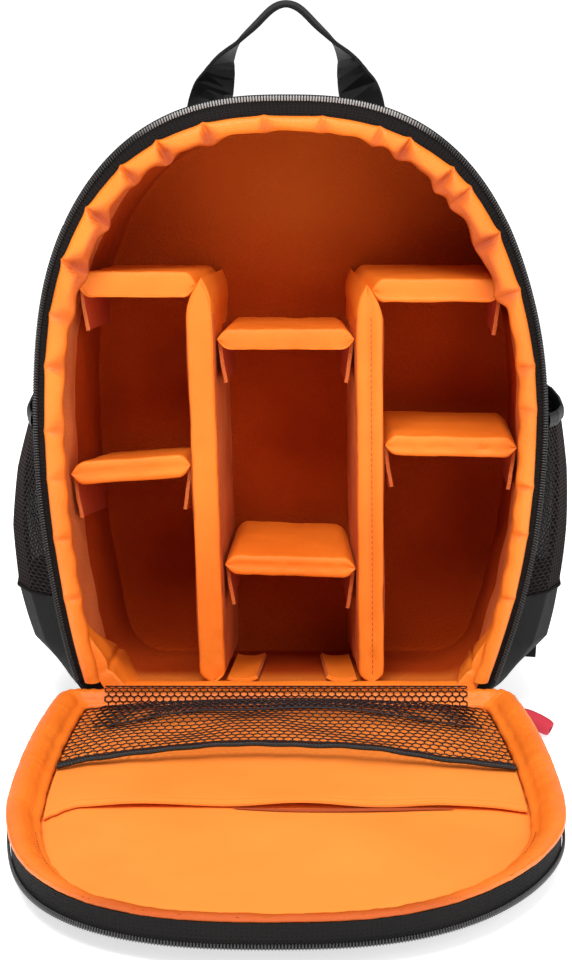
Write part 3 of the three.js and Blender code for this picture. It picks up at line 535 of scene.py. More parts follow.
def make_group(
    name: str,
    inputs: dict[str, tuple[Socket, object]],
    outputs: dict[str, Socket],
    build: Callable[[NodeSheet, dict[str, bpy.types.NodeSocket]], dict[str, object]],
) -> bpy.types.NodeTree:
    """Builds a shader node group.

    Args:
        name: The group's name.
        inputs: Its inputs by name, each with its kind and its usual value.
        outputs: Its outputs by name.
        build: Writes the nodes and returns what feeds each output.

    Returns:
        The group.
    """
    tree = bpy.data.node_groups.new(name, "ShaderNodeTree")
    for label, (kind, value) in inputs.items():
        made = tree.interface.new_socket(label, in_out="INPUT", socket_type=kind.value)
        made.default_value = value
    for label, kind in outputs.items():
        tree.interface.new_socket(label, in_out="OUTPUT", socket_type=kind.value)
    entry = tree.nodes.new("NodeGroupInput")
    leave = tree.nodes.new("NodeGroupOutput")
    sheet = NodeSheet(tree)
    results = build(sheet, {label: entry.outputs[label] for label in inputs})
    for label, value in results.items():
        sheet.feed(leave.inputs[label], value)
    return tree


def write_cloth(sheet: NodeSheet, given: dict[str, bpy.types.NodeSocket]) -> dict[str, object]:
    """Writes the woven cloth effect: thread grain, soft creases and uneven dye.

    Args:
        sheet: The group's nodes.
        given: The group's inputs by name.

    Returns:
        What feeds each output.
    """
    place = sheet.add("TexCoord", out="Object")
    grain = sheet.add("TexNoise", in_Vector=place, in_Scale=given["Grain"], in_Detail=3.0, out="Fac")
    crease = sheet.add(
        "TexNoise", in_Vector=place, in_Scale=given["Crease"], in_Detail=4.0, in_Roughness=0.55, out="Fac"
    )
    patch = sheet.add("TexNoise", in_Vector=place, in_Scale=14.0, in_Detail=3.0, out="Fac")
    tint = sheet.blend(sheet.ramp(patch, 0.3, 0.7), given["Shade"], given["Colour"])
    speck = sheet.maths("MULTIPLY", sheet.ramp(grain, 0.35, 0.65), given["Speckle"])
    colour = sheet.blend(speck, tint, given["Shade"])
    height = sheet.maths(
        "ADD",
        sheet.maths("MULTIPLY", grain, given["Grain Depth"]),
        sheet.maths("MULTIPLY", crease, given["Crease Depth"]),
    )
    return {"Colour": colour, "Height": height}


def write_ribs(sheet: NodeSheet, given: dict[str, bpy.types.NodeSocket]) -> dict[str, object]:
    """Writes the ribs of a woven band, which follow its own UV map.

    Args:
        sheet: The group's nodes.
        given: The group's inputs by name.

    Returns:
        What feeds each output.
    """
    parts = sheet.tree.nodes.new("ShaderNodeSeparateXYZ")
    sheet.feed(parts.inputs[0], sheet.add("UVMap"))
    along = sheet.maths("SINE", sheet.maths("MULTIPLY", parts.outputs[0], given["Ribs"]))
    across = sheet.maths("SINE", sheet.maths("MULTIPLY", parts.outputs[1], given["Cords"]))
    weave = sheet.maths("MULTIPLY", along, across)
    height = sheet.maths("MULTIPLY", sheet.maths("ADD", weave, sheet.maths("MULTIPLY", across, 0.6)), 0.5)
    return {"Height": height, "Mask": sheet.ramp(height, -0.6, 0.8)}


CLOTH_GROUP = make_group(
    "woven_cloth",
    {
        "Colour": (Socket.COLOUR, (0.8, 0.8, 0.8, 1)),
        "Shade": (Socket.COLOUR, (0.5, 0.5, 0.5, 1)),
        "Grain": (Socket.NUMBER, 1200.0),
        "Grain Depth": (Socket.NUMBER, 0.3),
        "Crease": (Socket.NUMBER, 40.0),
        "Crease Depth": (Socket.NUMBER, 1.0),
        "Speckle": (Socket.NUMBER, 0.1),
    },
    {"Colour": Socket.COLOUR, "Height": Socket.NUMBER},
    write_cloth,
)
RIB_GROUP = make_group(
    "ribbed_band",
    {"Ribs": (Socket.NUMBER, 600.0), "Cords": (Socket.NUMBER, 30.0)},
    {"Height": Socket.NUMBER, "Mask": Socket.NUMBER},
    write_ribs,
)

Colour = tuple[float, float, float]


@dataclass(frozen=True)
class Cloth:
    """A woven, napped or moulded finish with a grain and soft creases."""

    name: str
    colour: Colour
    shade: Colour
    roughness: float = 0.6
    grain: float = 1300
    grain_depth: float = 0.25
    crease: float = 35
    crease_depth: float = 1.0
    speckle: float = 0.12
    bump: float = 0.0006
    metallic: float = 0.0
    specular: float = 0.4
    ribs: float = 0.0
    cords: float = 0.0
    alpha: float = 1.0
    # folded: the colour of painted light and shade, blended in by the "fold" attribute.
    folded: Colour | None = None

    def make(self) -> bpy.types.Material:
        """Returns the material, made once.

        Returns:
            The material.
        """
        if self.name in bpy.data.materials:
            return bpy.data.materials[self.name]
        material = bpy.data.materials.new(self.name)
        material.use_nodes = True
        sheet = NodeSheet(material.node_tree)
        shader = material.node_tree.nodes["Principled BSDF"]
        group = material.node_tree.nodes.new("ShaderNodeGroup")
        group.node_tree = CLOTH_GROUP
        for label in ("Colour", "Shade"):
            group.inputs[label].default_value = (*getattr(self, label.lower()), 1)
        for label in ("Grain", "Grain Depth", "Crease", "Crease Depth", "Speckle"):
            group.inputs[label].default_value = getattr(self, label.lower().replace(" ", "_"))
        height = group.outputs["Height"]
        colour = group.outputs["Colour"]
        if self.ribs:
            ribs = material.node_tree.nodes.new("ShaderNodeGroup")
            ribs.node_tree = RIB_GROUP
            ribs.inputs["Ribs"].default_value = self.ribs
            ribs.inputs["Cords"].default_value = self.cords
            height = sheet.maths("ADD", sheet.maths("MULTIPLY", ribs.outputs["Height"], 0.8), height)
            colour = sheet.blend(sheet.maths("MULTIPLY", ribs.outputs["Mask"], 0.6), colour, (*self.shade, 1))
        # Painted light and shade: blends towards the folded colour by the "fold" vertex attribute.
        if self.folded:
            depth = sheet.add("Attribute", attribute_name="fold", out="Fac")
            colour = sheet.blend(depth, colour, (*self.folded, 1))
        bump = sheet.add(
            "Bump", in_Strength=1.0, in_Distance=self.bump, in_Height=height, out="Normal"
        )
        sheet.feed(shader.inputs["Base Color"], colour)
        sheet.feed(shader.inputs["Normal"], bump)
        plain = {"Roughness": self.roughness, "Metallic": self.metallic, "Alpha": self.alpha}
        for label, value in (plain | {"Specular IOR Level": self.specular}).items():
            shader.inputs[label].default_value = value
        material.diffuse_color = (*self.colour, 1)
        return material


@dataclass(frozen=True)
class CoilTeeth(Cloth):
    """Zip teeth, dark down the sides, with a painted highlight over the top of the arch."""

    # bright is the painted highlight's colour, blended in between two heights in metres.
    bright: Colour = (0.55, 0.55, 0.55)
    highlight_from: float = 0.318
    highlight_to: float = 0.331

    def make(self) -> bpy.types.Material:
        """Returns the material with a painted highlight over its top.

        Returns:
            The material.
        """
        made = self.name in bpy.data.materials
        material = super().make()
        if made:
            return material
        sheet = NodeSheet(material.node_tree)
        shader = material.node_tree.nodes["Principled BSDF"]
        parts = material.node_tree.nodes.new("ShaderNodeSeparateXYZ")
        sheet.feed(parts.inputs[0], sheet.add("TexCoord", out="Object"))
        # Painted highlight: teeth between the two heights blend towards the bright colour.
        high = sheet.ramp(parts.outputs[2], self.highlight_from, self.highlight_to)
        base = shader.inputs["Base Color"].links[0].from_socket
        sheet.feed(shader.inputs["Base Color"], sheet.blend(high, base, (*self.bright, 1)))
        return material


ORANGE_NYLON = Cloth(
    "orange_nylon", (0.90, 0.225, 0.020), (0.78, 0.155, 0.010), roughness=0.5, crease=26,
    crease_depth=1.6, speckle=0.1, bump=0.0009, specular=0.25,
)
# Its folded colour is painted shade: in the gathered edge's pleats, on the panel roll's front and deep in the
# corner cloth.
SHADED_EDGE_NYLON = Cloth(
    "edge_nylon_painted_shade", (0.90, 0.225, 0.020), (0.80, 0.165, 0.011), roughness=0.45, crease=30,
    crease_depth=2.2, speckle=0.1, bump=0.0012, specular=0.3, folded=(0.36, 0.045, 0.003),
)
PANEL_NYLON = Cloth(
    "panel_nylon", (0.93, 0.262, 0.04), (0.88, 0.225, 0.03), roughness=0.55, crease=9, crease_depth=1.0,
    speckle=0.08, bump=0.0006, specular=0.25,
)
# Its folded colour is lighter: painted light near the lining's top and on its floor near the mouth.
LOOP_LINING = Cloth(
    "loop_lining", (0.46, 0.058, 0.006), (0.30, 0.030, 0.003), roughness=0.95, grain=900,
    grain_depth=1.0, crease=24, crease_depth=1.4, speckle=0.45, bump=0.0009, specular=0.04,
    folded=(0.62, 0.15, 0.02),
)
HOOK_CORAL = Cloth(
    "hook_coral", (0.92, 0.26, 0.075), (0.62, 0.10, 0.020), roughness=0.9, grain=1500, grain_depth=1.4,
    speckle=0.5, bump=0.0012, specular=0.1,
)
TAB_CLOTH = Cloth(
    "tab_cloth", (0.46, 0.050, 0.006), (0.34, 0.030, 0.004), roughness=0.8, speckle=0.25, bump=0.0006,
)
# Dark seam colour for piping and stitches; it also colours the painted shadow in the slip pocket's slit.
SEAM_AND_SHADOW_ORANGE = Cloth(
    "seam_and_shadow_orange", (0.45, 0.075, 0.01), (0.30, 0.04, 0.008), roughness=0.8, speckle=0.2,
)
BLACK_NYLON = Cloth(
    "black_nylon", (0.0085, 0.0085, 0.0085), (0.005, 0.005, 0.005), roughness=0.7, grain=1500,
    grain_depth=0.6, crease=30, crease_depth=2.0, speckle=0.3, bump=0.0012, specular=0.16,
)
TAPE_BLACK = Cloth(
    "tape_black", (0.013, 0.0115, 0.011), (0.007, 0.0065, 0.0065), roughness=0.8, speckle=0.2,
    specular=0.12, bump=0.0004, ribs=2200, cords=40,
)
WEBBING_BLACK = Cloth(
    "webbing_black", (0.010, 0.010, 0.010), (0.005, 0.005, 0.005), roughness=0.6, specular=0.2,
    bump=0.0006, ribs=500, cords=70,
)
NET_BLACK = Cloth(
    "net_black", (0.014, 0.006, 0.007), (0.009, 0.004, 0.004), roughness=0.5, speckle=0.2, bump=0.0002,
    specular=0.25,
)
SHEER_BLACK = Cloth(
    "sheer_black", (0.010, 0.009, 0.009), (0.006, 0.006, 0.006), roughness=0.8, bump=0.0002,
    specular=0.1, alpha=0.8,
)
ELASTIC_BLACK = Cloth(
    "elastic_black", (0.009, 0.0085, 0.009), (0.005, 0.005, 0.005), roughness=0.45, bump=0.0004,
    ribs=900, cords=24, specular=0.3,
)
AIR_MESH = Cloth(
    "air_mesh", (0.014, 0.014, 0.014), (0.004, 0.004, 0.004), roughness=0.85, specular=0.15, grain=420,
    grain_depth=2.2, speckle=0.8, bump=0.0012,
)
# The bright colour here is a painted highlight on the teeth along the top of the arch.
MOUTH_TEETH = CoilTeeth(
    "mouth_teeth", (0.022, 0.021, 0.02), (0.012, 0.012, 0.012), roughness=0.35, bump=0.0001,
    specular=0.5, bright=(0.30, 0.29, 0.28),
)
PANEL_TEETH = Cloth(
    "panel_teeth", (0.03, 0.03, 0.03), (0.02, 0.02, 0.02), roughness=0.35, bump=0.0001, specular=0.6,
)
SLIDER_METAL = Cloth(
    "slider_metal", (0.06, 0.06, 0.065), (0.04, 0.04, 0.045), roughness=0.38, metallic=0.8, bump=0.0001,
)
PULL_RUBBER = Cloth(
    "pull_rubber", (0.22, 0.007, 0.012), (0.12, 0.005, 0.012), roughness=0.45, crease=120, bump=0.0005,
)
BUCKLE_PLASTIC = Cloth(
    "buckle_plastic", (0.014, 0.014, 0.014), (0.01, 0.01, 0.01), roughness=0.42, grain=2500, bump=0.0002,
)


def dress(piece: bpy.types.Object, slot: str, *finishes: Cloth) -> bpy.types.Object:
    """Gives a piece its finishes and its body.

    Args:
        piece: The new piece.
        slot: The record's material slot; it is not used.
        finishes: Its finishes, one for each material slot of the mesh.

    Returns:
        The same piece.
    """
    piece.data.materials.clear()
    for finish in finishes:
        piece.data.materials.append(finish.make())
    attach(piece, "root")
    log.info("%s: %d faces", piece.name, len(piece.data.polygons))
    return piece


def dress_node(node: str, finish: Cloth) -> None:
    """Puts a finish on a CAD node that stays in view.

    Args:
        node: The CAD node.
        finish: Its finish.
    """
    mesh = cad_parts[node].data
    mesh.materials.clear()
    mesh.materials.append(finish.make())


# Sizes that the sub-assemblies share


@dataclass(frozen=True)
class Arch:
    """An arch's outline: a blunt oval top, tapered sides, round lower corners and a flat base."""

    half_width: float
    height: float
    widest: float
    taper: float
    corner: float

    def side_x(self, inset: Array, z: Array) -> Array:
        """Returns half the width of the tapered sides."""
        below = np.maximum(0, (self.widest - z) / self.widest)
        return (self.half_width - inset) * (1 - self.taper * below**2.1)

    def at(self, place: Array, inset: Array = 0, lift: Array | None = None) -> tuple[Array, Array]:
        """Finds points of the outline.

        Args:
            place: From -1 (base, left) over 0 (top) to 1 (base, right).
            inset: How far inwards.
            lift: How high the base lies; the inset where it is left out.

        Returns:
            Their positions across and up.
        """
        place, inset = np.broadcast_arrays(np.asarray(place, float), np.asarray(inset, float))
        lift = np.maximum(inset, 0) if lift is None else np.broadcast_to(lift, place.shape)
        along = np.abs(place)
        corner = np.maximum(self.corner - np.maximum(inset, 0), 4)
        top = np.clip(1 - along / 0.5, 0, 1) * math.pi / 2
        side = (along - 0.5) / 0.3
        turn = np.clip((along - 0.8) / 0.12, 0, 1) * math.pi / 2
        side_z = self.widest - side * (self.widest - lift - corner)
        turn_z = lift + corner * (1 - np.sin(turn))
        pick = [along <= 0.5, along <= 0.8, along <= 0.92]
        x = np.select(
            pick,
            [
                (self.half_width - inset) * np.cos(top) ** (2 / 2.6),
                self.side_x(inset, side_z),
                self.side_x(inset, turn_z) - corner * (1 - np.cos(turn)),
            ],
            (self.side_x(inset, lift) - corner) * (1 - along) / 0.08,
        )
        z = np.select(
            pick,
            [self.widest + (self.height - self.widest - inset) * np.sin(top) ** (2 / 2.2), side_z, turn_z],
            lift,
        )
        return np.where(place < 0, -x, x), z

    def half_at(self, z: Array, inset: Array = 0, lift: Array = 0) -> Array:
        """Returns half the outline's width at a height.

        Args:
            z: The heights.
            inset: How far inwards.
            lift: How high the base lies.

        Returns:
            The half widths.
        """
        z = np.asarray(z, float)
        corner = np.maximum(self.corner - np.maximum(inset, 0), 4)
        up = np.clip((z - self.widest) / (self.height - self.widest - inset), 0, 1)
        high = (self.half_width - inset) * (1 - up**2.2) ** (1 / 2.6)
        low = np.clip(np.minimum(corner, lift + corner - z), 0, None)
        return np.where(
            z > self.widest, high, self.side_x(inset, z) - (corner - np.sqrt(corner**2 - low**2))
        )


BODY = Arch(133.3, 339, 168, 0.235, 28)
LID = Arch(133.5, 313, 158, 0.1, 12)


@dataclass(frozen=True)
class Measures:
    """Sizes of the CAD model, in millimetres, that the cloth pieces follow."""

    depth: float = 110
    wall: float = 8.5
    floor_front: float = 20.5
    floor_back: float = 10
    back_wall: float = 8
    lean: float = 16
    lining: float = 2.7
    gap: float = 0.3
    top_drop: float = 17
    sway: float = 2.4
    sway_height: float = 140
    sway_span: float = 90
    rim_depth: float = 6.4
    tip_shift: float = 6.5
    tip_start: float = 190
    tip_span: float = 110
    lid_roll: float = 17
    pad_top: float = 14.3

    @property
    def mouth(self) -> float:
        """The front plane's place on Y."""
        return -self.depth / 2

    @property
    def hinge(self) -> float:
        """Where the front panel starts on Y."""
        return self.mouth - self.gap

    @property
    def cavity(self) -> float:
        """The compartment's depth."""
        return self.depth - self.back_wall

    def lift(self, depth: Array) -> Array:
        """Returns how high the compartment's floor lies in the outline at a depth."""
        return self.floor_front + (self.floor_back - self.floor_front) * depth / self.cavity + self.lining

    def floor(self, depth: Array) -> Array:
        """Returns the floor's real height."""
        return self.lift(depth) * height_share(depth)


SIZE = Measures()


TEETH_PITCH = 1.45

# Behind the mouth: the depth, and how far inwards the shell's outer skin lies there.
SKIN = np.array([(0, 0), (33, -2), (89.2, -1), (102.85, 2.6), (110, 13)])

# Along the mouth's arch: the place, how far inwards the zip's tape shows, and how wide the rolled edge is.
RIM = np.array(
    [
        (-0.8, 4.2, 8),
        (-0.6, 4.2, 8),
        (-0.5, 4.2, 11),
        (-0.4, 4.3, 11),
        (-0.335, 4.6, 18),
        (-0.295, 4.8, 14.5),
        (-0.25, 5.3, 10.5),
        (-0.2, 6, 10),
        (-0.15, 7.4, 10.5),
        (-0.08, 8.4, 10),
        (0, 8.7, 8),
        (0.08, 8.4, 9),
        (0.15, 7.4, 10),
        (0.2, 6, 12),
        (0.26, 5, 17),
        (0.335, 4.6, 18),
        (0.38, 4.4, 9.5),
        (0.5, 4.2, 8.6),
        (0.8, 4.2, 8),
    ]
)


def skin_inset(depth: Array) -> Array:
    """Returns how far inwards the shell's outer skin lies at a depth."""
    return np.interp(depth, SKIN[:, 0], SKIN[:, 1])


def rim_at(place: Array) -> tuple[Array, Array]:
    """Returns the tape's and the rolled edge's widths at places along the arch."""
    return np.interp(place, RIM[:, 0], RIM[:, 1]), np.interp(place, RIM[:, 0], RIM[:, 2])


def height_share(depth: Array) -> Array:
    """Returns the share of its height that the outline keeps at a depth."""
    return 1 - SIZE.top_drop * np.maximum(depth, 0) / (SIZE.depth * BODY.height)


def sway_at(z: Array) -> Array:
    """Returns how far the soft shell leans to the right at a height."""
    return SIZE.sway * np.exp(-(((z - SIZE.sway_height) / SIZE.sway_span) ** 4))


def body_point(
    place: Array, inset: Array, depth: Array, lift: Array | None = None, lean: Array = 0
) -> Array:
    """Returns points of the standing shell.

    Args:
        place: Round the outline, from -1 to 1.
        inset: How far inwards.
        depth: How far behind the mouth.
        lift: How high the base lies.
        lean: How far the left side leans in.

    Returns:
        The points, one row each.
    """
    x, z = BODY.at(place, inset, lift)
    x = x + sway_at(z) + lean * (BODY.half_width - x) / (2 * BODY.half_width)
    depth = np.broadcast_to(depth, x.shape)
    return np.stack([x, SIZE.mouth + depth, z * height_share(depth)], axis=-1)


def body_x(side: int, z: Array, depth: Array, inset: Array, lift: Array) -> Array:
    """Returns the outline's place across at a real height and depth.

    Args:
        side: -1 on the left, 1 on the right.
        z: The height.
        depth: How far behind the mouth.
        inset: How far inwards.
        lift: How high the base lies.

    Returns:
        The places.
    """
    level = np.asarray(z, float) / height_share(depth)
    return side * BODY.half_at(level, inset, lift) + sway_at(level)


def hinge_lift(inset: Array) -> Array:
    """Returns how much nearer the hinge an inset edge of the front panel starts."""
    inset = np.asarray(inset, float)
    return np.where(inset <= 7, np.maximum(inset, 0), 7 + (inset - 7) * 0.6)


def lid_point(place: Array, inset: Array, z: Array) -> Array:
    """Returns points of the front panel at a place, an inset and a height."""
    x, reach = LID.at(place, inset, hinge_lift(inset))
    return np.stack([x + tip_shift(reach), SIZE.hinge - reach, np.broadcast_to(z, x.shape)], axis=-1)


def tip_shift(reach: Array) -> Array:
    """Returns how far the front panel bends aside at a distance from the hinge."""
    share = np.clip((reach - SIZE.tip_start) / SIZE.tip_span, 0, 1)
    return -SIZE.tip_shift * share**2 * (3 - 2 * share)


def even_places(low: float, high: float, inset: float, arch: Arch) -> Callable[[Array], Array]:
    """Makes a rule from shares of length to places on an outline.

    Args:
        low: The first place.
        high: The last place.
        inset: How far inwards the length is measured.
        arch: The outline.

    Returns:
        A function of shares from 0 to 1.
    """
    places = np.linspace(low, high, 1500)
    x, z = arch.at(places, inset, hinge_lift(inset) if arch is LID else None)
    lengths = np.concatenate([[0], np.cumsum(np.hypot(np.diff(x), np.diff(z)))])
    return lambda share: np.interp(share, lengths / lengths[-1], places)


@dataclass(frozen=True)
class Fold:
    """A pinch across an edge: where it starts, how wide it fans out and how deep it is, as a share."""

    place: float
    span: float
    depth: float

    def drop(self, place: Array, across: Array) -> Array:
        """Returns how deep the cloth dips at places along and shares across the edge.

        Args:
            place: Places along the edge.
            across: Shares across it.

        Returns:
            The depths, as shares.
        """
        reach = 0.002 + self.span * across
        way = (place - self.place) / reach
        return self.depth * np.exp(-(np.where(way < 0, 1.6, 0.9) * way) ** 2)


def pleats(folds: Sequence[Fold], place: Array, across: Array) -> Array:
    """Adds up the dips of several folds."""
    return sum((fold.drop(place, across) for fold in folds), np.zeros(np.shape(place)))


# Studio


@dataclass(frozen=True)
class SoftBox:
    """A square lamp: where it hangs and what it points at in metres, its side and its power in watts."""

    name: str
    place: tuple[float, float, float]
    target: tuple[float, float, float]
    size: float
    power: float

    def hang(self) -> None:
        """Makes the lamp and turns it."""
        data = bpy.data.lights.new(self.name, "AREA")
        data.size = self.size
        data.energy = self.power
        light = bpy.data.objects.new(self.name, data)
        light.location = self.place
        way = Vector(self.target) - Vector(self.place)
        light.rotation_euler = way.to_track_quat("-Z", "Y").to_euler()
        bpy.context.collection.objects.link(light)


@dataclass
class Studio:
    """A pale floor, soft lights and the camera at the photograph's angle."""

    camera_y: float = -1.441
    camera_z: float = 0.490
    pitch: float = 75.77
    lens: float = 102
    floor_size: float = 30
    floor_grey: float = 0.9
    floor_glow: float = 0.65
    sky: float = 0.45
    boxes: tuple[SoftBox, ...] = (
        SoftBox("key", (-0.25, -1.35, 1.85), (0, -0.1, 0.1), 0.8, 36),
        SoftBox("fill", (0.8, -1.6, 0.9), (0, 0, 0.15), 1.0, 9),
        SoftBox("top", (0, -0.35, 1.9), (0, -0.1, 0), 1.2, 14),
    )

    def build(self) -> None:
        """Makes the whole studio."""
        self.make_camera()
        self.make_floor()
        self.make_lights()

    def make_camera(self) -> None:
        """Sets the camera on its line to the bag."""
        data = bpy.data.cameras.new("camera")
        data.sensor_fit = "VERTICAL"
        data.sensor_height = 36
        data.lens = self.lens
        data.clip_end = 100
        camera = bpy.data.objects.new("camera", data)
        camera.location = (0, self.camera_y, self.camera_z)
        camera.rotation_euler = Euler((math.radians(self.pitch), 0, 0))
        bpy.context.collection.objects.link(camera)
        bpy.context.scene.camera = camera

    def make_floor(self) -> None:
        """Lays a large pale floor."""
        clear_selection()
        bpy.ops.mesh.primitive_plane_add(size=self.floor_size, location=(0, 0, 0))
        floor = bpy.context.object
        floor.name = floor.data.name = "studio_floor"
        material = bpy.data.materials.new("studio_floor")
        material.use_nodes = True
        shader = material.node_tree.nodes["Principled BSDF"]
        shader.inputs["Base Color"].default_value = (*(self.floor_grey,) * 3, 1)
        shader.inputs["Roughness"].default_value = 0.9
        shader.inputs["Specular IOR Level"].default_value = 0.1
        shader.inputs["Emission Color"].default_value = (1, 1, 1, 1)
        shader.inputs["Emission Strength"].default_value = self.floor_glow
        floor.data.materials.append(material)

    def make_lights(self) -> None:
        """Hangs the soft boxes and sets the pale surroundings."""
        for box in self.boxes:
            box.hang()
        world = bpy.data.worlds.new("studio")
        world.use_nodes = True
        world.node_tree.nodes["Background"].inputs["Color"].default_value = (1, 1, 1, 1)
        world.node_tree.nodes["Background"].inputs["Strength"].default_value = self.sky
        scene = bpy.context.scene
        scene.world = world
        scene.view_settings.view_transform = "Standard"


# The standing shell and its zip


@dataclass
class Shell:
    """The black outer shell, the zip tape round its mouth and the seams that bind it.

    A row of the section holds how far inwards the skin lies, how far behind the mouth, and how high its base
    is.
    """

    arch_end: float = 0.8
    tooth: tuple[float, float, float] = (2.9, 0.95, 1.5)
    piping_radius: float = 1.5
    seam_radius: float = 0.8
    back: float = 110.8
    middle_z: float = 165
    flat_inset: float = 40
    flat_lift: float = 38
    flat_span: float = 94
    section: tuple[tuple[float, float, float], ...] = (
        (SIZE.wall, 20, SIZE.floor_front),
        (SIZE.wall, 0.8, SIZE.floor_front),
        (SIZE.wall - 1, 0, SIZE.floor_front - 1),
        (5, 0, 5),
        (1, 0, 1),
        (0, 0.8, 0),
        (-0.9, 12, 0),
        (-2, 33, 0),
        (-2, 60, 0),
        (-1, 88, 0),
        (0.4, 96, 0.4),
        (2.6, 102.4, 1.8),
        (6.5, 107, 4.6),
        (10, 109.2, 7),
        (14, 110, 10),
        (40, 110.6, 38),
        (80, 110.8, 75),
        (134, 110.8, 150),
    )

    def build(self) -> None:
        """Makes the shell's pieces in order."""
        self.make_skin()
        self.make_tape()
        self.make_teeth()
        self.make_seams()

    def make_skin(self) -> None:
        """Bends the shell: inner edge, front face, outer skin, rounded back."""
        places = even_places(-1, 1, 0, BODY)
        stations = np.array(self.section)
        shares = np.linspace(0, 1, len(stations))

        def rule(u: Array, v: Array) -> Array:
            """Places the shell's skin.

            Args:
                u: Shares along it.
                v: Shares across it.

            Returns:
                The points.
            """
            inset, depth, lift = (np.interp(v, shares, stations[:, i]) for i in range(3))
            place = places(u)
            near = np.minimum(inset, self.flat_inset)
            outer = body_point(place, near, depth, np.minimum(lift, self.flat_lift))
            middle = np.array([0, SIZE.mouth + self.back, self.middle_z])
            pull = np.clip((inset - self.flat_inset) / self.flat_span, 0, 1)[:, None]
            points = outer * (1 - pull) + middle * pull
            free = np.clip((depth - 4) / 15, 0, 1) * np.clip((outer[:, 2] - 3) / 12, 0, 1)
            soft = free * (0.5 * ripple(points * [1, 0.6, 1], 42, 5) + 0.25 * ripple(points, 17, 6))
            away = points - [0, 0, 150]
            away[:, 1] = 0
            away /= np.linalg.norm(away, axis=1, keepdims=True).clip(1)
            return points + away * soft[:, None] * (inset < 14)[:, None]

        skin = shaped("shell_skin", 380, 96, rule, join=Join.AROUND)
        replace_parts(dress(skin, "black_fabric", BLACK_NYLON), "shell")

    def make_tape(self) -> None:
        """Bends the zip's tape."""
        places = even_places(-self.arch_end, self.arch_end, 4, BODY)

        def rule(u: Array, v: Array) -> Array:
            """Places the tape's face.

            Args:
                u: Shares along it.
                v: Shares across it.

            Returns:
                The points.
            """
            place = places(u)
            inset = 0.2 + (rim_at(place)[0] + 0.6) * v
            wave = 0.12 * np.sin(90 * u + 3 * v)
            return body_point(place, inset, -1.0 + wave)

        tape = shaped("mouth_zip_tape", 520, 12, rule, thickness=1.1)
        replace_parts(dress(tape, "zip_tape", TAPE_BLACK), "mouth_tape")

    def make_teeth(self) -> None:
        """Sets the coil's teeth along the tape's outer edge."""
        route = Route(body_point(np.linspace(-self.arch_end, self.arch_end, 900), 0.2, -2.5))
        distances = spread(route, TEETH_PITCH)
        outward = route.at(distances) - [0, SIZE.mouth, 150]
        outward[:, 1] = 0
        outward /= np.linalg.norm(outward, axis=1, keepdims=True)
        tooth = capsule(*self.tooth)
        front = np.array([[0, -1.0, 0]] * len(distances))
        teeth = repeated("mouth_zip_teeth", tooth, route.at(distances), outward, front)
        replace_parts(dress(teeth, "zip_teeth", MOUTH_TEETH), "mouth_coil")

    def make_seams(self) -> None:
        """Runs piping round the back edge and a seam near the front."""
        places = np.linspace(-1, 1, 900)
        piping = tube("back_piping", Route(body_point(places, 9.2, 109.5, 6.4)), self.piping_radius, step=3)
        dress(piping, "black_fabric", TAPE_BLACK)
        front = Route(body_point(np.linspace(-0.93, 0.93, 900), -1.35, 14, 0))
        seam = tube("front_seam", front, self.seam_radius, step=3, sides=6)
        dress(seam, "black_fabric", TAPE_BLACK)


# The compartment


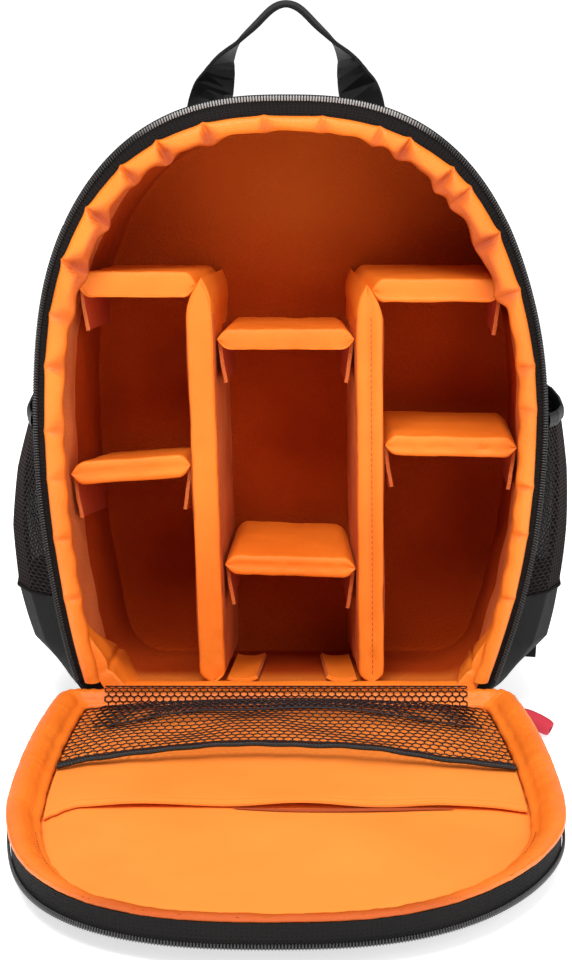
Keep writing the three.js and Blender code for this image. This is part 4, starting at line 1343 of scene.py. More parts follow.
@dataclass
class Compartment:
    """The padded lining and the gathered edge round the compartment's mouth."""

    back: float = 99.4
    middle_x: float = 4
    middle_z: float = 160
    edge_end: float = 0.8
    edge_least: float = 0.4
    pleat_depth: float = 3.4
    lobe_width: float = 2.6
    folds: tuple[Fold, ...] = (
        Fold(-0.7, 0.006, 0.3), Fold(-0.63, 0.006, 0.35), Fold(-0.56, 0.008, 0.3),
        Fold(-0.505, 0.01, 0.45), Fold(-0.447, 0.01, 0.6), Fold(-0.395, 0.012, 0.5),
        Fold(-0.335, 0.018, 1.0), Fold(-0.2685, 0.018, 1.0), Fold(-0.1995, 0.014, 0.9),
        Fold(-0.142, 0.015, 1.0), Fold(-0.079, 0.015, 0.9), Fold(-0.014, 0.009, 0.55),
        Fold(0.027, 0.009, 0.5), Fold(0.0935, 0.01, 0.6), Fold(0.134, 0.015, 1.0),
        Fold(0.203, 0.014, 0.9), Fold(0.2355, 0.014, 0.8), Fold(0.3015, 0.018, 1.0),
        Fold(0.368, 0.014, 0.7), Fold(0.447, 0.01, 0.5), Fold(0.487, 0.008, 0.35),
        Fold(0.57, 0.008, 0.45), Fold(0.625, 0.008, 0.4), Fold(0.7, 0.006, 0.35),
    )

    def build(self) -> None:
        """Makes the lining and the gathered edge."""
        self.make_lining()
        self.make_edge()

    def make_lining(self) -> None:
        """Bends the lining: front lip, walls, floor and back."""
        size = SIZE
        places = even_places(-1, 1, 20, BODY)
        inside = size.lining

        def rule(u: Array, v: Array) -> Array:
            """Places the lining's inner face.

            Args:
                u: Shares along it.
                v: Shares across it.

            Returns:
                The points.
            """
            depth = np.interp(v, [0, 0.06, 0.62, 0.66, 1], [2.2, 3.2, 98.0, 99.1, self.back])
            edge = np.interp(v, [0, 0.06, 0.62, 0.66], [0.8, inside, inside, inside + 2.5])
            inset = size.wall + edge
            lift = size.lift(depth) - inside + edge
            lean = size.lean * depth / size.cavity
            outer = body_point(places(u), inset, depth, lift, lean)
            pull = np.clip((v - 0.66) / 0.34, 0, 1)[:, None]
            middle = np.array([self.middle_x, size.mouth + self.back, self.middle_z])
            points = outer * (1 - pull) + middle * pull
            side = np.clip((outer[:, 2] - 30) / 25, 0, 1) * np.clip(depth / 12, 0, 1) * (pull[:, 0] == 0)
            soft = 1.3 * side * ripple(points * [0.2, 1, 1], 38, 11)
            points[:, 0] += np.where(points[:, 0] > 0, -1, 1) * np.abs(soft)
            points[:, 1] -= 0.8 * (1 + ripple(points * [1, 0, 1], 60, 12)) * np.clip(pull[:, 0] * 4, 0, 1)
            return points

        lining = shaped("lining_cloth", 250, 76, rule, thickness=1.0, join=Join.AROUND)
        dress(lining, "orange_fabric", LOOP_LINING, ORANGE_NYLON, HOOK_CORAL)
        paint_faces(lining, 2, lambda middle, normal: (np.abs(normal[:, 0]) > 0.5) & (middle[:, 1] < -15))
        # Painted light: the lining is blended towards a lighter colour near its top and on the floor near the
        # mouth.
        points = points_of(lining)
        high = np.clip((points[:, 2] - 215) / 50, 0, 1) * np.clip(1 - np.abs(points[:, 0] - 10) / 110, 0, 1)
        low = (points[:, 2] < size.floor(points[:, 1] + 55) + 4) & (points[:, 1] < -10)
        paint_light_and_shade(lining, np.maximum(0.45 * high, 0.9 * low * np.clip((-12 - points[:, 1]) / 18, 0, 1)))
        paint_faces(lining, 1, lambda middle, normal: middle[:, 1] < size.mouth + 4)
        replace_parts(lining, "lining")

    def make_edge(self) -> None:
        """Gathers the bright cloth edge round the mouth."""
        least = self.edge_least
        places = even_places(-self.edge_end, self.edge_end, 14, BODY)

        def rule(u: Array, v: Array) -> Array:
            """Places the edge's cloth.

            Args:
                u: Shares along it.
                v: Shares across it.

            Returns:
                The points.
            """
            place = places(u)
            across = 0.5 - 0.5 * np.cos(math.pi * v)
            wedge = pleats(self.folds, place, across)
            peak = sum(fold.depth * np.exp(-np.abs(place - fold.place) / 0.005) for fold in self.folds)
            lobe = sum(fold.depth * dip(place, fold.place, 0.9 * fold.span) for fold in self.folds)
            tape, roll = rim_at(place)
            down = np.clip((np.abs(place) - 0.38) / 0.08, 0, 1)
            width = np.minimum(roll, 12.5) * (1 - down) + np.where(place < 0, 10.8, 9.8) * down - 1.0
            width += self.lobe_width * lobe * (1 - 0.7 * down) + 0.4 * np.sin(160 * place)
            rise = np.abs(np.sin(math.pi * v)) ** 0.5
            front = -least - (SIZE.rim_depth - least) * rise + self.pleat_depth * wedge * rise
            front += 1.0 * rise * np.clip(across - 0.55, 0, 1)
            start = tape + 0.9 - 1.5 * peak
            inset = start + (width + tape + 0.6 - start) * across
            return body_point(place, inset, np.minimum(front, -least))

        edge = shaped("gathered_edge", 1300, 22, rule, thickness=0.5)
        # Painted shade: darker in each pleat's wedge and along the inner edge at the top of the arch.
        points = points_of(edge)
        samples = places(np.linspace(0, 1, 4000)[::8])
        tree = KDTree(len(samples))
        for index, spot in enumerate(body_point(samples, 9, -3.0)):
            tree.insert((spot[0], 0, spot[2]), index)
        tree.balance()
        place = samples[[tree.find((x, 0, z))[1] for x, _, z in points]]
        tape, _ = rim_at(place)
        edge_points = body_point(place, tape, -3.0)
        reach = np.hypot(points[:, 0] - edge_points[:, 0], points[:, 2] - edge_points[:, 2])
        wedge = pleats(self.folds, place, np.clip(reach / 10, 0, 1))
        high = np.clip((0.4 - np.abs(place)) / 0.05, 0, 1)
        inner = np.clip((reach - 7.6) / 2.5, 0, 1) * 0.8 * high
        paint_light_and_shade(edge, np.maximum(wedge * np.clip(0.3 + reach / 8, 0, 1), inner))
        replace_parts(dress(edge, "orange_fabric", SHADED_EDGE_NYLON), "mouth_roll")


@dataclass(frozen=True)
class Divider:
    """An upright padded board and the tilt of the shelf on its top."""

    name: str
    foot: float
    top: float
    skew: float
    height: float
    thickness: float
    pitch: float
    lap: float = 0.0

    def x(self, z: Array, y: Array) -> Array:
        """Returns its middle plane's place at a height and a distance behind its front."""
        share = (z - SIZE.floor_back) / (self.top_z(0.0) - SIZE.floor_back)
        return BODY.half_width * (self.foot + (self.top - self.foot) * share) + self.skew * np.asarray(y) / 90

    def top_z(self, y: Array) -> Array:
        """Returns its top at a distance behind its front edge."""
        drop = (np.asarray(y, float) - 4) * math.tan(math.radians(self.pitch))
        return self.height * BODY.height - self.thickness - SIZE.gap - drop


@dataclass(frozen=True)
class Shelf:
    """A padded shelf: what its ends meet, its front edge's height share, its thickness and its tilts."""

    name: str
    left: str
    right: str
    height: float
    thickness: float
    roll: float
    pitch: float
    seam: float = -0.3
    tabs: tuple[str, ...] = ("left", "right")


@dataclass(frozen=True)
class Corner:
    """Loose cloth where a wall meets the floor at the mouth.

    Near and far are its ends on the floor, height and fall its start on the wall, reach and belly its depth.
    """

    name: str
    side: int
    near: float
    far: float
    height: float = 62
    fall: float = 22
    reach: float = 34
    belly: float = 30
    skirt: float = 0.16


@dataclass
class Boards:
    """The dividers, the shelves and the hook tabs that hold them."""

    thickness: float = 14
    divider_depth: float = 90
    shelf_depth: float = 75
    front: float = 9.0
    tab_height: float = 20
    tab_drop: float = 0.385
    tab_room: float = 5
    tab_inset: float = 6.5
    tab_cloth: float = 1.9
    floor_tab_width: float = 16
    floor_tab_start: float = 6
    floor_tab_length: float = 60
    shelf_set_back: float = 4
    front_round: float = 3.4
    end_round: float = 7
    hook_from: float = 5.5
    hook_top: float = 208
    piping_radius: float = 0.75
    dividers: dict[str, Divider] = field(
        default_factory=lambda: {
            "left": Divider("left", -0.294, -0.343, 6, 0.7294, 14, 7),
            "right": Divider("right", 0.347, 0.327, -4, 0.7184, 13, 4, lap=0.9),
        }
    )
    shelves: tuple[Shelf, ...] = (
        Shelf("top_left", "wall", "over", 0.7294, 14, 0, 7, -0.85, ("left",)),
        Shelf("top_right", "over", "wall", 0.7184, 13, 0, 4, -0.45, ("right",)),
        Shelf("mid_left", "wall", "left", 0.4345, 13, 4.2, 10.5, -0.1),
        Shelf("upper_centre", "left", "right", 0.64, 11.5, 0, 6, -0.85),
        Shelf("lower_centre", "left", "right", 0.2745, 11.5, -1.8, 0.5, 0.0),
        Shelf("mid_right", "right", "wall", 0.469, 11.5, -1.2, 2.5, -0.2),
    )
    corners: tuple[Corner, ...] = (Corner("left", -1, -85, -77), Corner("right", 1, 90, 92))

    def build(self) -> None:
        """Makes every board, tab and corner in order."""
        for divider in self.dividers.values():
            self.make_divider(divider)
        for shelf in self.shelves:
            self.make_shelf(shelf)
        self.make_floor_tab("left", 1)
        self.make_floor_tab("right", -1)
        for corner in self.corners:
            self.make_corner(corner)

    def board(
        self,
        name: str,
        depth: float,
        thickness: float,
        ends: Callable[[Array], tuple[Array, Array]],
        place: Callable[[Array, Array, Array], Array],
        seam: float,
        lap: float = 0.0,
        seed: int = 1,
    ) -> bpy.types.Object:
        """Stuffs a board sewn from two sheets, with a seam along its front.

        Args:
            name: The new piece's name.
            depth: Its size from front to back.
            thickness: Its thickness.
            ends: Gives its two ends at distances behind its front.
            place: Puts lengths, depths and heights over the middle plane into the part.
            seam: The seam's height on the front face, from -1 to 1.
            lap: How far the cloth on one side of the front laps over the other.
            seed: Picks its creases.

        Returns:
            The board.
        """
        half = thickness / 2
        cap = self.front_round

        def rule(u: Array, v: Array) -> Array:
            """Places the board's skin.

            Args:
                u: Shares along it.
                v: Shares across it.

            Returns:
                The points.
            """
            turn = np.interp(v, [0, 0.3, 0.7, 1], [0, math.pi / 2, math.pi / 2, math.pi])
            fullness = np.sin(turn).clip(0, 1) ** 0.5
            push = cap * (1 - np.abs(np.cos(turn)) ** 0.5)
            y = np.where(v < 0.5, push, depth - push)
            y = np.where((v >= 0.3) & (v <= 0.7), cap + (depth - 2 * cap) * (v - 0.3) / 0.4, y)
            start, end = ends(y)
            upper = u < 0.5
            share = np.where(upper, 2 * u, 2 - 2 * u)
            share = 0.5 - 0.5 * np.cos(math.pi * share)
            tuck = 0.4 + 1.2 * (1 - fullness) ** 2
            w = start + tuck + (end - start - 2 * tuck) * share
            near = np.minimum(w - start - tuck, end - tuck - w).clip(0)
            profile = 1 - (1 - np.clip(near / self.end_round, 0, 1)) ** 2.2
            t = np.where(upper, 1, -1) * (half - 0.15) * profile
            front = (1 - fullness) * (v < 0.5)
            t = t * fullness + seam * half * profile * (1 - fullness)
            pinch = dip(fullness, 0, 0.35) * (v < 0.5)
            groove = 1.3 * pinch * (0.6 + 0.4 * ripple(np.stack([w, 0 * w, 0 * w], -1), 9, seed))
            full = np.clip(fullness * 1.5 - 0.5, 0, 1)
            spot = np.stack([w, y, t * 3], -1)
            soft = 0.35 * ripple(spot, 22, seed) + 0.16 * ripple(spot * [1, 0.3, 1], 8, seed + 50)
            t = t + np.sign(t) * (np.minimum(soft, 0.1)) * full * profile
            y = y + groove + lap * (t > 0.1 * half) * front * 0.9
            return place(w, y, t)

        return shaped(name, 120, 70, rule, join=Join.AROUND)

    def make_divider(self, divider: Divider) -> None:
        """Stuffs a divider, with hook cloth on its two faces and piping along their front edges.

        Args:
            divider: The divider.
        """

        def ends(y: Array) -> tuple[Array, Array]:
            """Returns its foot and its top."""
            return SIZE.floor(self.front + y) + SIZE.gap, divider.top_z(y)

        inward = 1 if divider.name == "left" else -1

        def place(w: Array, y: Array, t: Array) -> Array:
            """Stands the board up, with a lip beside the shelf that lies on it.

            Args:
                w: Lengths along the board.
                y: Distances behind its front.
                t: Heights over its middle plane.

            Returns:
                The points, one row each.
            """
            lip = np.clip((w - divider.top_z(y) + 7) / 7, 0, 1)
            lean = inward * lip * (1.5 + 3.0 * np.clip(y / self.shelf_depth, 0, 1))
            z = w + (divider.thickness - 1.5) * lip**1.2
            return np.stack([divider.x(w, y) + t + lean, SIZE.mouth + self.front + y, z], axis=-1)

        piece = self.board(
            f"padded_divider_{divider.name}",
            self.divider_depth,
            self.thickness,
            ends,
            place,
            seam=0.15 if divider.lap else 0.86,
            lap=divider.lap,
            seed=3 if divider.lap else 4,
        )
        dress(piece, "orange_fabric", ORANGE_NYLON, HOOK_CORAL)
        paint_faces(
            piece,
            1,
            lambda middle, normal: (np.abs(normal[:, 0]) > 0.75)
            & (middle[:, 1] > SIZE.mouth + self.front + self.hook_from)
            & (middle[:, 2] < self.hook_top),
        )
        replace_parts(piece, f"divider_{divider.name}")
        z = np.linspace(float(ends(np.array(5.0))[0]) + 6, float(divider.top_z(5)) - 6, 120)
        pipings = []
        for side in (-1, 1):
            wave = 0.3 * np.sin(z / 11 + side)
            x = divider.x(z, 5.0) + side * (self.thickness / 2 - 0.25) + wave
            route = Route(np.stack([x, np.full_like(z, SIZE.mouth + self.front + 5.2), z], -1))
            name = f"divider_piping_{divider.name}_{side}"
            pipings.append(tube(name, route, self.piping_radius, step=3, sides=6))
        piping = joined(f"divider_piping_{divider.name}", pipings)
        dress(piping, "orange_fabric", SEAM_AND_SHADOW_ORANGE)
        if divider.lap:
            x = divider.x(z, 0.0) + 0.15 * self.thickness / 2 - 0.4
            y = np.full_like(z, SIZE.mouth + self.front - 0.15)
            row = stitches("divider_stitches", Route(np.stack([x, y, z], -1)), (0, -1, 0), 3.0, 1.9, 0.4)
            dress(row, "orange_fabric", SEAM_AND_SHADOW_ORANGE)

    def wall_x(self, side: int, z: Array, depth: Array) -> Array:
        """Returns the lining's inner face at a height and a depth.

        Args:
            side: -1 on the left, 1 on the right.
            z: The heights.
            depth: How far behind the mouth.

        Returns:
            The places across.
        """
        x = body_x(side, z, depth, SIZE.wall + SIZE.lining, SIZE.lift(depth))
        lean = SIZE.lean * depth / SIZE.cavity
        return x + lean * (BODY.half_width - x) / (2 * BODY.half_width)

    def end_x(self, shelf: Shelf, side: int, z: Array, depth: Array) -> Array:
        """Returns where a shelf ends on one side.

        Args:
            shelf: The shelf.
            side: -1 at its left end, 1 at its right.
            z: The heights.
            depth: How far behind the mouth.

        Returns:
            The places across.
        """
        what = shelf.left if side < 0 else shelf.right
        y = depth - self.front
        if what == "over":
            divider = self.dividers["right" if side < 0 else "left"]
            mitre = np.clip((y - self.shelf_set_back) / self.shelf_depth, 0, 1)
            over = (1.6 * mitre - 0.15).clip(-0.15, 0.6)
            return divider.x(divider.top_z(0.0), y) + side * self.thickness / 2 * over
        low = z - self.tab_drop * shelf.thickness - self.tab_height - self.tab_room
        heights = (z + shelf.thickness / 4, low)
        if what == "wall":
            walls = [side * self.wall_x(side, h, depth) for h in heights]
            return side * (np.minimum(*walls) - SIZE.gap)
        middles = [side * self.dividers[what].x(h, y) for h in heights]
        return side * (np.minimum(*middles) - self.thickness / 2 - SIZE.gap)

    def make_shelf(self, shelf: Shelf) -> None:
        """Stuffs a shelf and hangs its tabs.

        Args:
            shelf: The shelf.
        """
        middle_z = shelf.height * BODY.height - shelf.thickness / 2
        slope = math.tan(math.radians(shelf.pitch))
        roll = math.tan(math.radians(shelf.roll))
        front = self.front + self.shelf_set_back

        def end_at(side: int, y: Array) -> Array:
            """Returns one end at distances behind the front."""
            y = np.asarray(y, float)
            return self.end_x(shelf, side, middle_z - y * slope, front + y)

        middle_x = float(end_at(-1, 0.0) + end_at(1, 0.0)) / 2

        def height(x: Array, y: Array) -> Array:
            """Returns the middle plane's height."""
            return middle_z + (x - middle_x) * roll - y * slope

        def place(w: Array, y: Array, t: Array) -> Array:
            """Lays the board down."""
            return np.stack([w, SIZE.mouth + front + y, height(w, y) + t], axis=-1)

        piece = self.board(
            f"padded_shelf_{shelf.name}",
            self.shelf_depth,
            shelf.thickness,
            lambda y: (end_at(-1, y), end_at(1, y)),
            place,
            seam=shelf.seam,
            seed=10 + len(shelf.name),
        )
        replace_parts(dress(piece, "orange_fabric", ORANGE_NYLON), f"shelf_{shelf.name}")
        for word in shelf.tabs:
            side = -1 if word == "left" else 1

            def rule(u: Array, v: Array) -> Array:
                """Places the hanging tab, which curls away from its carrier.

                Args:
                    u: Shares along it.
                    v: Shares across it.

                Returns:
                    The points.
                """
                y = self.tab_inset + (self.shelf_depth - 2 * self.tab_inset) * u
                near = end_at(side, y)
                top = height(near, y) - 1.5
                curl = 1.3 + 1.6 * v**1.6 + 1.6 * v * np.exp(-u * 9)
                fray = 0.35 * ripple(np.stack([y, 8 * v, 0 * v], -1), 5, 7) * v
                x = near - side * curl + fray
                reach = self.tab_drop * shelf.thickness + self.tab_height - 2
                return np.stack([x, SIZE.mouth + front + y, top - reach * v], -1)

            tab = shaped(f"hook_tab_{shelf.name}_{word}", 40, 14, rule, thickness=self.tab_cloth)
            dress(tab, "hook_tape", TAB_CLOTH, HOOK_CORAL)
            paint_faces(tab, 1, lambda middle, normal: normal[:, 1] < -0.5)
            paint_faces(tab, 1, lambda middle, normal, s=side: s * normal[:, 0] > 0.5)
            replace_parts(tab, f"tab_{shelf.name}_{word}")

    def make_corner(self, corner: Corner) -> None:
        """Folds a corner's cloth, with a skirt that tucks under the gathered edge.

        Args:
            corner: The corner.
        """
        side = corner.side

        def rule(u: Array, v: Array) -> Array:
            """Places the cloth from the wall to the floor and from the mouth inwards.

            Args:
                u: Shares along it.
                v: Shares across it.

            Returns:
                The points.
            """
            skirt = np.clip(1 - v / corner.skirt, 0, 1)
            v = np.clip((v - corner.skirt) / (1 - corner.skirt), 0, 1)
            depth = 0.6 - 1.5 * skirt + v * (corner.reach + corner.belly * np.sin(math.pi * u))
            high = corner.height - corner.fall * v
            wall = self.wall_x(side, high, depth)
            low = SIZE.floor(depth) + 0.6
            end = corner.near + (corner.far - corner.near) * v
            share = u**1.3
            x = wall - side * 0.8 + (end - wall + side * 0.8) * share
            z = high + (low - high) * (1 - (1 - u) ** 1.5)
            spot = np.stack([u * 46, v * 60, 0 * u], -1)
            bulge = np.sin(math.pi * u) * (2.2 + 1.1 * ripple(spot, 19, 71)) * (1 - 0.5 * v)
            crease = -1.4 * dip(u, 0.62 - 0.25 * v, 0.05)
            sunk = (bulge + crease) * 0.7 - 2.6 * v**4
            x = x - side * sunk + side * skirt * (4 + 6 * u)
            return np.stack([x, SIZE.mouth + depth, z + sunk - 3 * skirt * u], -1)

        cloth = shaped(f"corner_cloth_{corner.name}", 60, 48, rule, thickness=0.8)
        # Painted shade: the cloth darkens further from the mouth.
        points = points_of(cloth)
        paint_light_and_shade(cloth, 0.7 * np.clip((points[:, 1] + 40) / 30, 0, 1))
        dress(cloth, "orange_fabric", SHADED_EDGE_NYLON)

    def make_floor_tab(self, name: str, inward: int) -> None:
        """Lays a divider's hook tab on the floor, its free edge a little raised.

        Args:
            name: The divider's name.
            inward: 1 where the tab lies to its right, -1 to its left.
        """
        divider = self.dividers[name]

        def rule(u: Array, v: Array) -> Array:
            """Places the tab.

            Args:
                u: Shares along it.
                v: Shares across it.

            Returns:
                The points.
            """
            y = self.floor_tab_start + self.floor_tab_length * u
            low = SIZE.floor(self.front + y) + SIZE.gap
            near = divider.x(low, y) + inward * (self.thickness / 2 + 0.6)
            lift = 1.2 + 2.0 * v**6 + 1.2 * (1 - v) ** 5
            x = near + inward * self.floor_tab_width * v
            return np.stack([x, SIZE.mouth + self.front + y, low + lift], -1)

        tab = shaped(f"hook_floor_tab_{name}", 40, 20, rule, thickness=2.0)
        dress(tab, "hook_tape", ORANGE_NYLON, HOOK_CORAL)
        paint_faces(tab, 1, lambda middle, normal: inward * normal[:, 0] > 0.6)
        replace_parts(tab, f"floor_tab_{name}")


# The front panel


@dataclass
class FrontPanel:
    """The front panel that lies on the floor, with its zip and two pockets.

    A row of the roll's section holds how far inwards it lies and how high. A row of the pad's holds the share
    across, the inset and the height. A row of the edges holds the place across and the shares that the free
    edges of the net and of the slip pocket reach there.
    """

    sill_half: float = 94
    sill_depth: float = 8
    sill_z: float = 24
    slip_reach: float = 154
    net_reach: float = 86
    net_rise: float = 6.4
    cell: float = 4.6
    strand: float = 0.8
    net_size: tuple[float, float] = (228, 66)
    fold_half: float = 0.92
    fold_size: tuple[float, float] = (209, 20)
    fold_cell: float = 4.278
    root_size: tuple[float, float] = (209, 13)
    band_half: tuple[float, float] = (2.6, 1.4)
    band_set_back: float = 2.8
    tooth: tuple[float, float, float] = (2.8, 0.95, 1.4)
    roll_section: tuple[tuple[float, float], ...] = (
        (7.4, 16.0),
        (7.3, 21.3),
        (1.2, 21.3),
        (0.0, 22.4),
        (0.6, 23.8),
        (2.6, 24.9),
        (5.4, 25.4),
        (8.6, 24.9),
        (11.6, 22.6),
        (13.2, 20.2),
        (14.4, 19.3),
        (16.2, 18.6),
        (17.0, 17.4),
        (16.9, 15.4),
        (15.8, 13.6),
        (11.5, 13.8),
        (7.4, 16.0),
    )
    pad_section: tuple[tuple[float, float, float], ...] = (
        (0, 40, 6.5),
        (0.12, 17.6, 12.0),
        (0.2, 15.6, 13.0),
        (0.28, 17.2, 13.8),
        (0.4, 22.5, 14.1),
        (0.55, 34, SIZE.pad_top),
    )
    edges: tuple[tuple[float, float, float], ...] = (
        (-1, 1.2, 1.14),
        (-0.92, 1.13, 1),
        (-0.7, 1.07, 1),
        (-0.3, 1.01, 0.995),
        (0, 1, 1.01),
        (0.3, 1.05, 1.005),
        (0.6, 1.13, 1),
        (0.9, 1.2, 1.02),
        (1, 1.23, 1.055),
    )

    def build(self) -> None:
        """Makes the panel's pieces in order."""
        self.make_shell()
        self.make_pad()
        self.make_roll()
        self.make_zip()
        self.make_hinge()
        self.make_slip_pocket()
        self.make_net_pocket()

    def make_shell(self) -> None:
        """Rounds the domed outer cloth."""
        piece = copy_node("lid_shell", "panel_shell", levels=2, crease=0.7)
        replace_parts(dress(piece, "black_fabric", BLACK_NYLON), "lid_shell")

    def make_pad(self) -> None:
        """Bends the padded inner panel, crowned and flat-topped."""
        places = even_places(-1, 1, 20, LID)
        table = np.array(self.pad_section)

        def rule(u: Array, v: Array) -> Array:
            """Places the pad's skin from its underside to the middle of its top.

            Args:
                u: Shares along it.
                v: Shares across it.

            Returns:
                The points.
            """
            inset, z = (np.interp(v, table[:, 0], table[:, column]) for column in (1, 2))
            outer = lid_point(places(u), inset, z)
            pull = np.clip((v - table[-1, 0]) / (1 - table[-1, 0]), 0, 1)[:, None]
            middle = np.array([0, SIZE.hinge - LID.widest, SIZE.pad_top])
            points = outer * (1 - pull) + middle * pull
            front = np.clip((-points[:, 1] - 240) / 100, 0, 1) * (v > 0.2)
            points[:, 2] += 0.25 * ripple(points * [1, 1, 0], 60, 21) * (v > 0.4) - 0.2
            points[:, 2] -= 1.2 * front * dip(inset, 30, 9)
            return points

        pad = shaped("panel_pad", 320, 54, rule, join=Join.AROUND)
        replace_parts(dress(pad, "orange_fabric", PANEL_NYLON), "lid_pad")

    def make_roll(self) -> None:
        """Bends the bright rolled edge all the way round the panel."""
        places = even_places(-1, 1, 6, LID)
        section = np.array(self.roll_section)
        shares = np.linspace(0, 1, len(section))

        def rule(u: Array, v: Array) -> Array:
            """Places the roll's skin.

            Args:
                u: Shares along it.
                v: Shares across it.

            Returns:
                The points.
            """
            place = places(u)
            inset = np.interp(v, shares, section[:, 0])
            z = np.interp(v, shares, section[:, 1])
            spot = np.stack([place * 900, 0 * place, inset], -1)
            crown = np.clip((z - 19) / 4, 0, 1)
            hinge = np.clip((np.abs(place) - 0.86) / 0.06, 0, 1)
            soft = 0.35 * ripple(spot * [1, 0, 1.5], 42, 31) + 0.2 * ripple(spot * [1, 0, 0.6], 13, 32)
            gather = 0.5 * np.clip((np.abs(place) - 0.74) / 0.1, 0, 1) * np.sin(place * 700)
            z = z + (np.minimum(soft, 0.1) - np.abs(gather)) * crown - 0.6 * hinge * crown
            inset = inset + 0.4 * ripple(spot * [1, 0, 0], 30, 33) * (v > 0.3) * (inset > 8)
            tip = np.clip((0.5 - np.abs(place)) / 0.25, 0, 1)
            outside = np.clip((6 - inset) / 6, 0, 1)
            return lid_point(place, inset.clip(0) + 2.2 * tip * outside, z + 1.9 * tip * outside * (z < 24))

        roll = shaped("panel_rolled_edge", 760, 44, rule, join=Join.AROUND)
        # Painted shade that grows towards the front tip, over a slightly deeper tone on the whole roll.
        points = points_of(roll)
        paint_light_and_shade(roll, 0.65 * np.clip((-points[:, 1] - 325) / 25, 0, 1) + 0.12)
        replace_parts(dress(roll, "orange_fabric", SHADED_EDGE_NYLON), "lid_roll")
        row = Route(lid_point(np.linspace(-0.42, 0.42, 700), 14.0, 19.75))
        dress(stitches("panel_edge_stitches", row, (0, 0, 1), 3.4, 2.0, 0.45), "orange_fabric", SEAM_AND_SHADOW_ORANGE)

    def make_zip(self) -> None:
        """Bends the panel's zip tape and sets its teeth along the lower edge."""
        places = even_places(-0.8, 0.8, 3, LID)

        def rule(u: Array, v: Array) -> Array:
            """Places the tape, which hangs from under the rolled edge."""
            tip = np.clip((0.5 - np.abs(places(u))) / 0.25, 0, 1)
            return lid_point(places(u), 3.0 + 0.1 * np.sin(60 * u), 10.8 + (9.8 + 2.2 * tip) * v)

        tape = shaped("panel_zip_tape", 480, 10, rule, thickness=1.1)
        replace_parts(dress(tape, "zip_tape", TAPE_BLACK), "lid_tape")
        route = Route(lid_point(places(np.linspace(0, 1, 900)), 1.5, 12.2))
        distances = spread(route, TEETH_PITCH)
        upright = np.array([[0, 0, 1.0]] * len(distances))
        teeth = repeated(
            "panel_zip_teeth",
            capsule(*self.tooth),
            route.at(distances),
            upright,
            np.cross(route.heading(distances), upright),
        )
        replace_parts(dress(teeth, "zip_teeth", PANEL_TEETH), "lid_coil")

    def make_hinge(self) -> None:
        """Lays the cloth sill over the hinge."""

        def rule(u: Array, v: Array) -> Array:
            """Places the sill.

            Args:
                u: Shares along it.
                v: Shares across it.

            Returns:
                The points.
            """
            x = (2 * u - 1) * self.sill_half
            y = SIZE.mouth + SIZE.gap + self.sill_depth * v
            z = self.sill_z + 0.35 * np.sin(math.pi * v) + 0.15 * np.sin(x / 7)
            return np.stack([x, y, z], -1)

        sill = shaped("hinge_sill", 120, 6, rule, thickness=1.2)
        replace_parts(dress(sill, "orange_fabric", ORANGE_NYLON), "hinge_flap")

    def reach(self, u: Array, column: int, length: float) -> Array:
        """Returns how far a pocket's free edge reaches at places across, from -1 to 1.

        Args:
            u: Places across, from -1 to 1.
            column: The column of the edges' table.
            length: The usual reach.

        Returns:
            The reaches.
        """
        table = np.array(self.edges)
        steps = [np.interp(u + step, table[:, 0], table[:, column]) for step in (-0.05, 0, 0.05)]
        return length * sum(steps) / len(steps)

    def on_panel(self, u: Array, v: Array, reach: Array, z: Array) -> Array:
        """Returns points over the pad, from the hinge to a pocket's free edge.

        Args:
            u: Places across, from -1 to 1.
            v: Shares of the way to the free edge.
            reach: How far the free edge lies from the hinge.
            z: The height.

        Returns:
            The points, one row each.
        """
        inset = SIZE.lid_roll + SIZE.gap
        start = float(hinge_lift(inset)) + 1
        length = start + (reach - start) * v
        half = LID.half_at(length, inset, hinge_lift(inset)) - 0.6
        z = np.broadcast_to(z, half.shape)
        return np.stack([u * half + tip_shift(length), SIZE.hinge - length, z], -1)

    def make_slip_pocket(self) -> None:
        """Lays the slip pocket's sheet, its hemmed edge a little wavy."""
        top = SIZE.pad_top + SIZE.gap + 1.4

        def rule(u: Array, v: Array) -> Array:
            """Places the sheet.

            Args:
                u: Shares along it.
                v: Shares across it.

            Returns:
                The points.
            """
            across = 2 * u - 1
            wave = 2.8 * v**6 * (1 - across**2) * (0.55 + 0.45 * np.sin(9 * across + 1))
            hem = 0.35 * dip(v, 0.955, 0.008) - 0.3 * dip(v, 0.94, 0.006)
            soft = 0.25 * ripple(np.stack([across * 115, v * 140, 0 * v], -1), 34, 41)
            z = top - 0.5 + wave + hem + np.minimum(soft, 0.15) * np.clip(v * 3, 0, 1)
            return self.on_panel(across, v, self.reach(across, 2, self.slip_reach), z)

        def shadow(u: Array, v: Array) -> Array:
            """Places a dark sheet in the slit under the sheet's free edge, as painted shadow.

            Args:
                u: Shares along it.
                v: Shares across it.

            Returns:
                The points.
            """
            across = -0.22 + 0.92 * u
            open_by = 0.8 + 3.4 * np.sin(math.pi * u) ** 0.6
            reach = self.reach(across, 2, self.slip_reach) + open_by * v
            return self.on_panel(across, np.ones_like(u), reach, top - 1.25)

        # Painted shadow: a dark sheet stands for the shade in the pocket's opening.
        slit = shaped("slip_pocket_slit", 90, 4, shadow)
        dress(slit, "orange_fabric", SEAM_AND_SHADOW_ORANGE)
        sheet = shaped("slip_pocket_sheet", 128, 112, rule, thickness=0.9)
        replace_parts(dress(sheet, "orange_fabric", PANEL_NYLON), "slip_pocket")

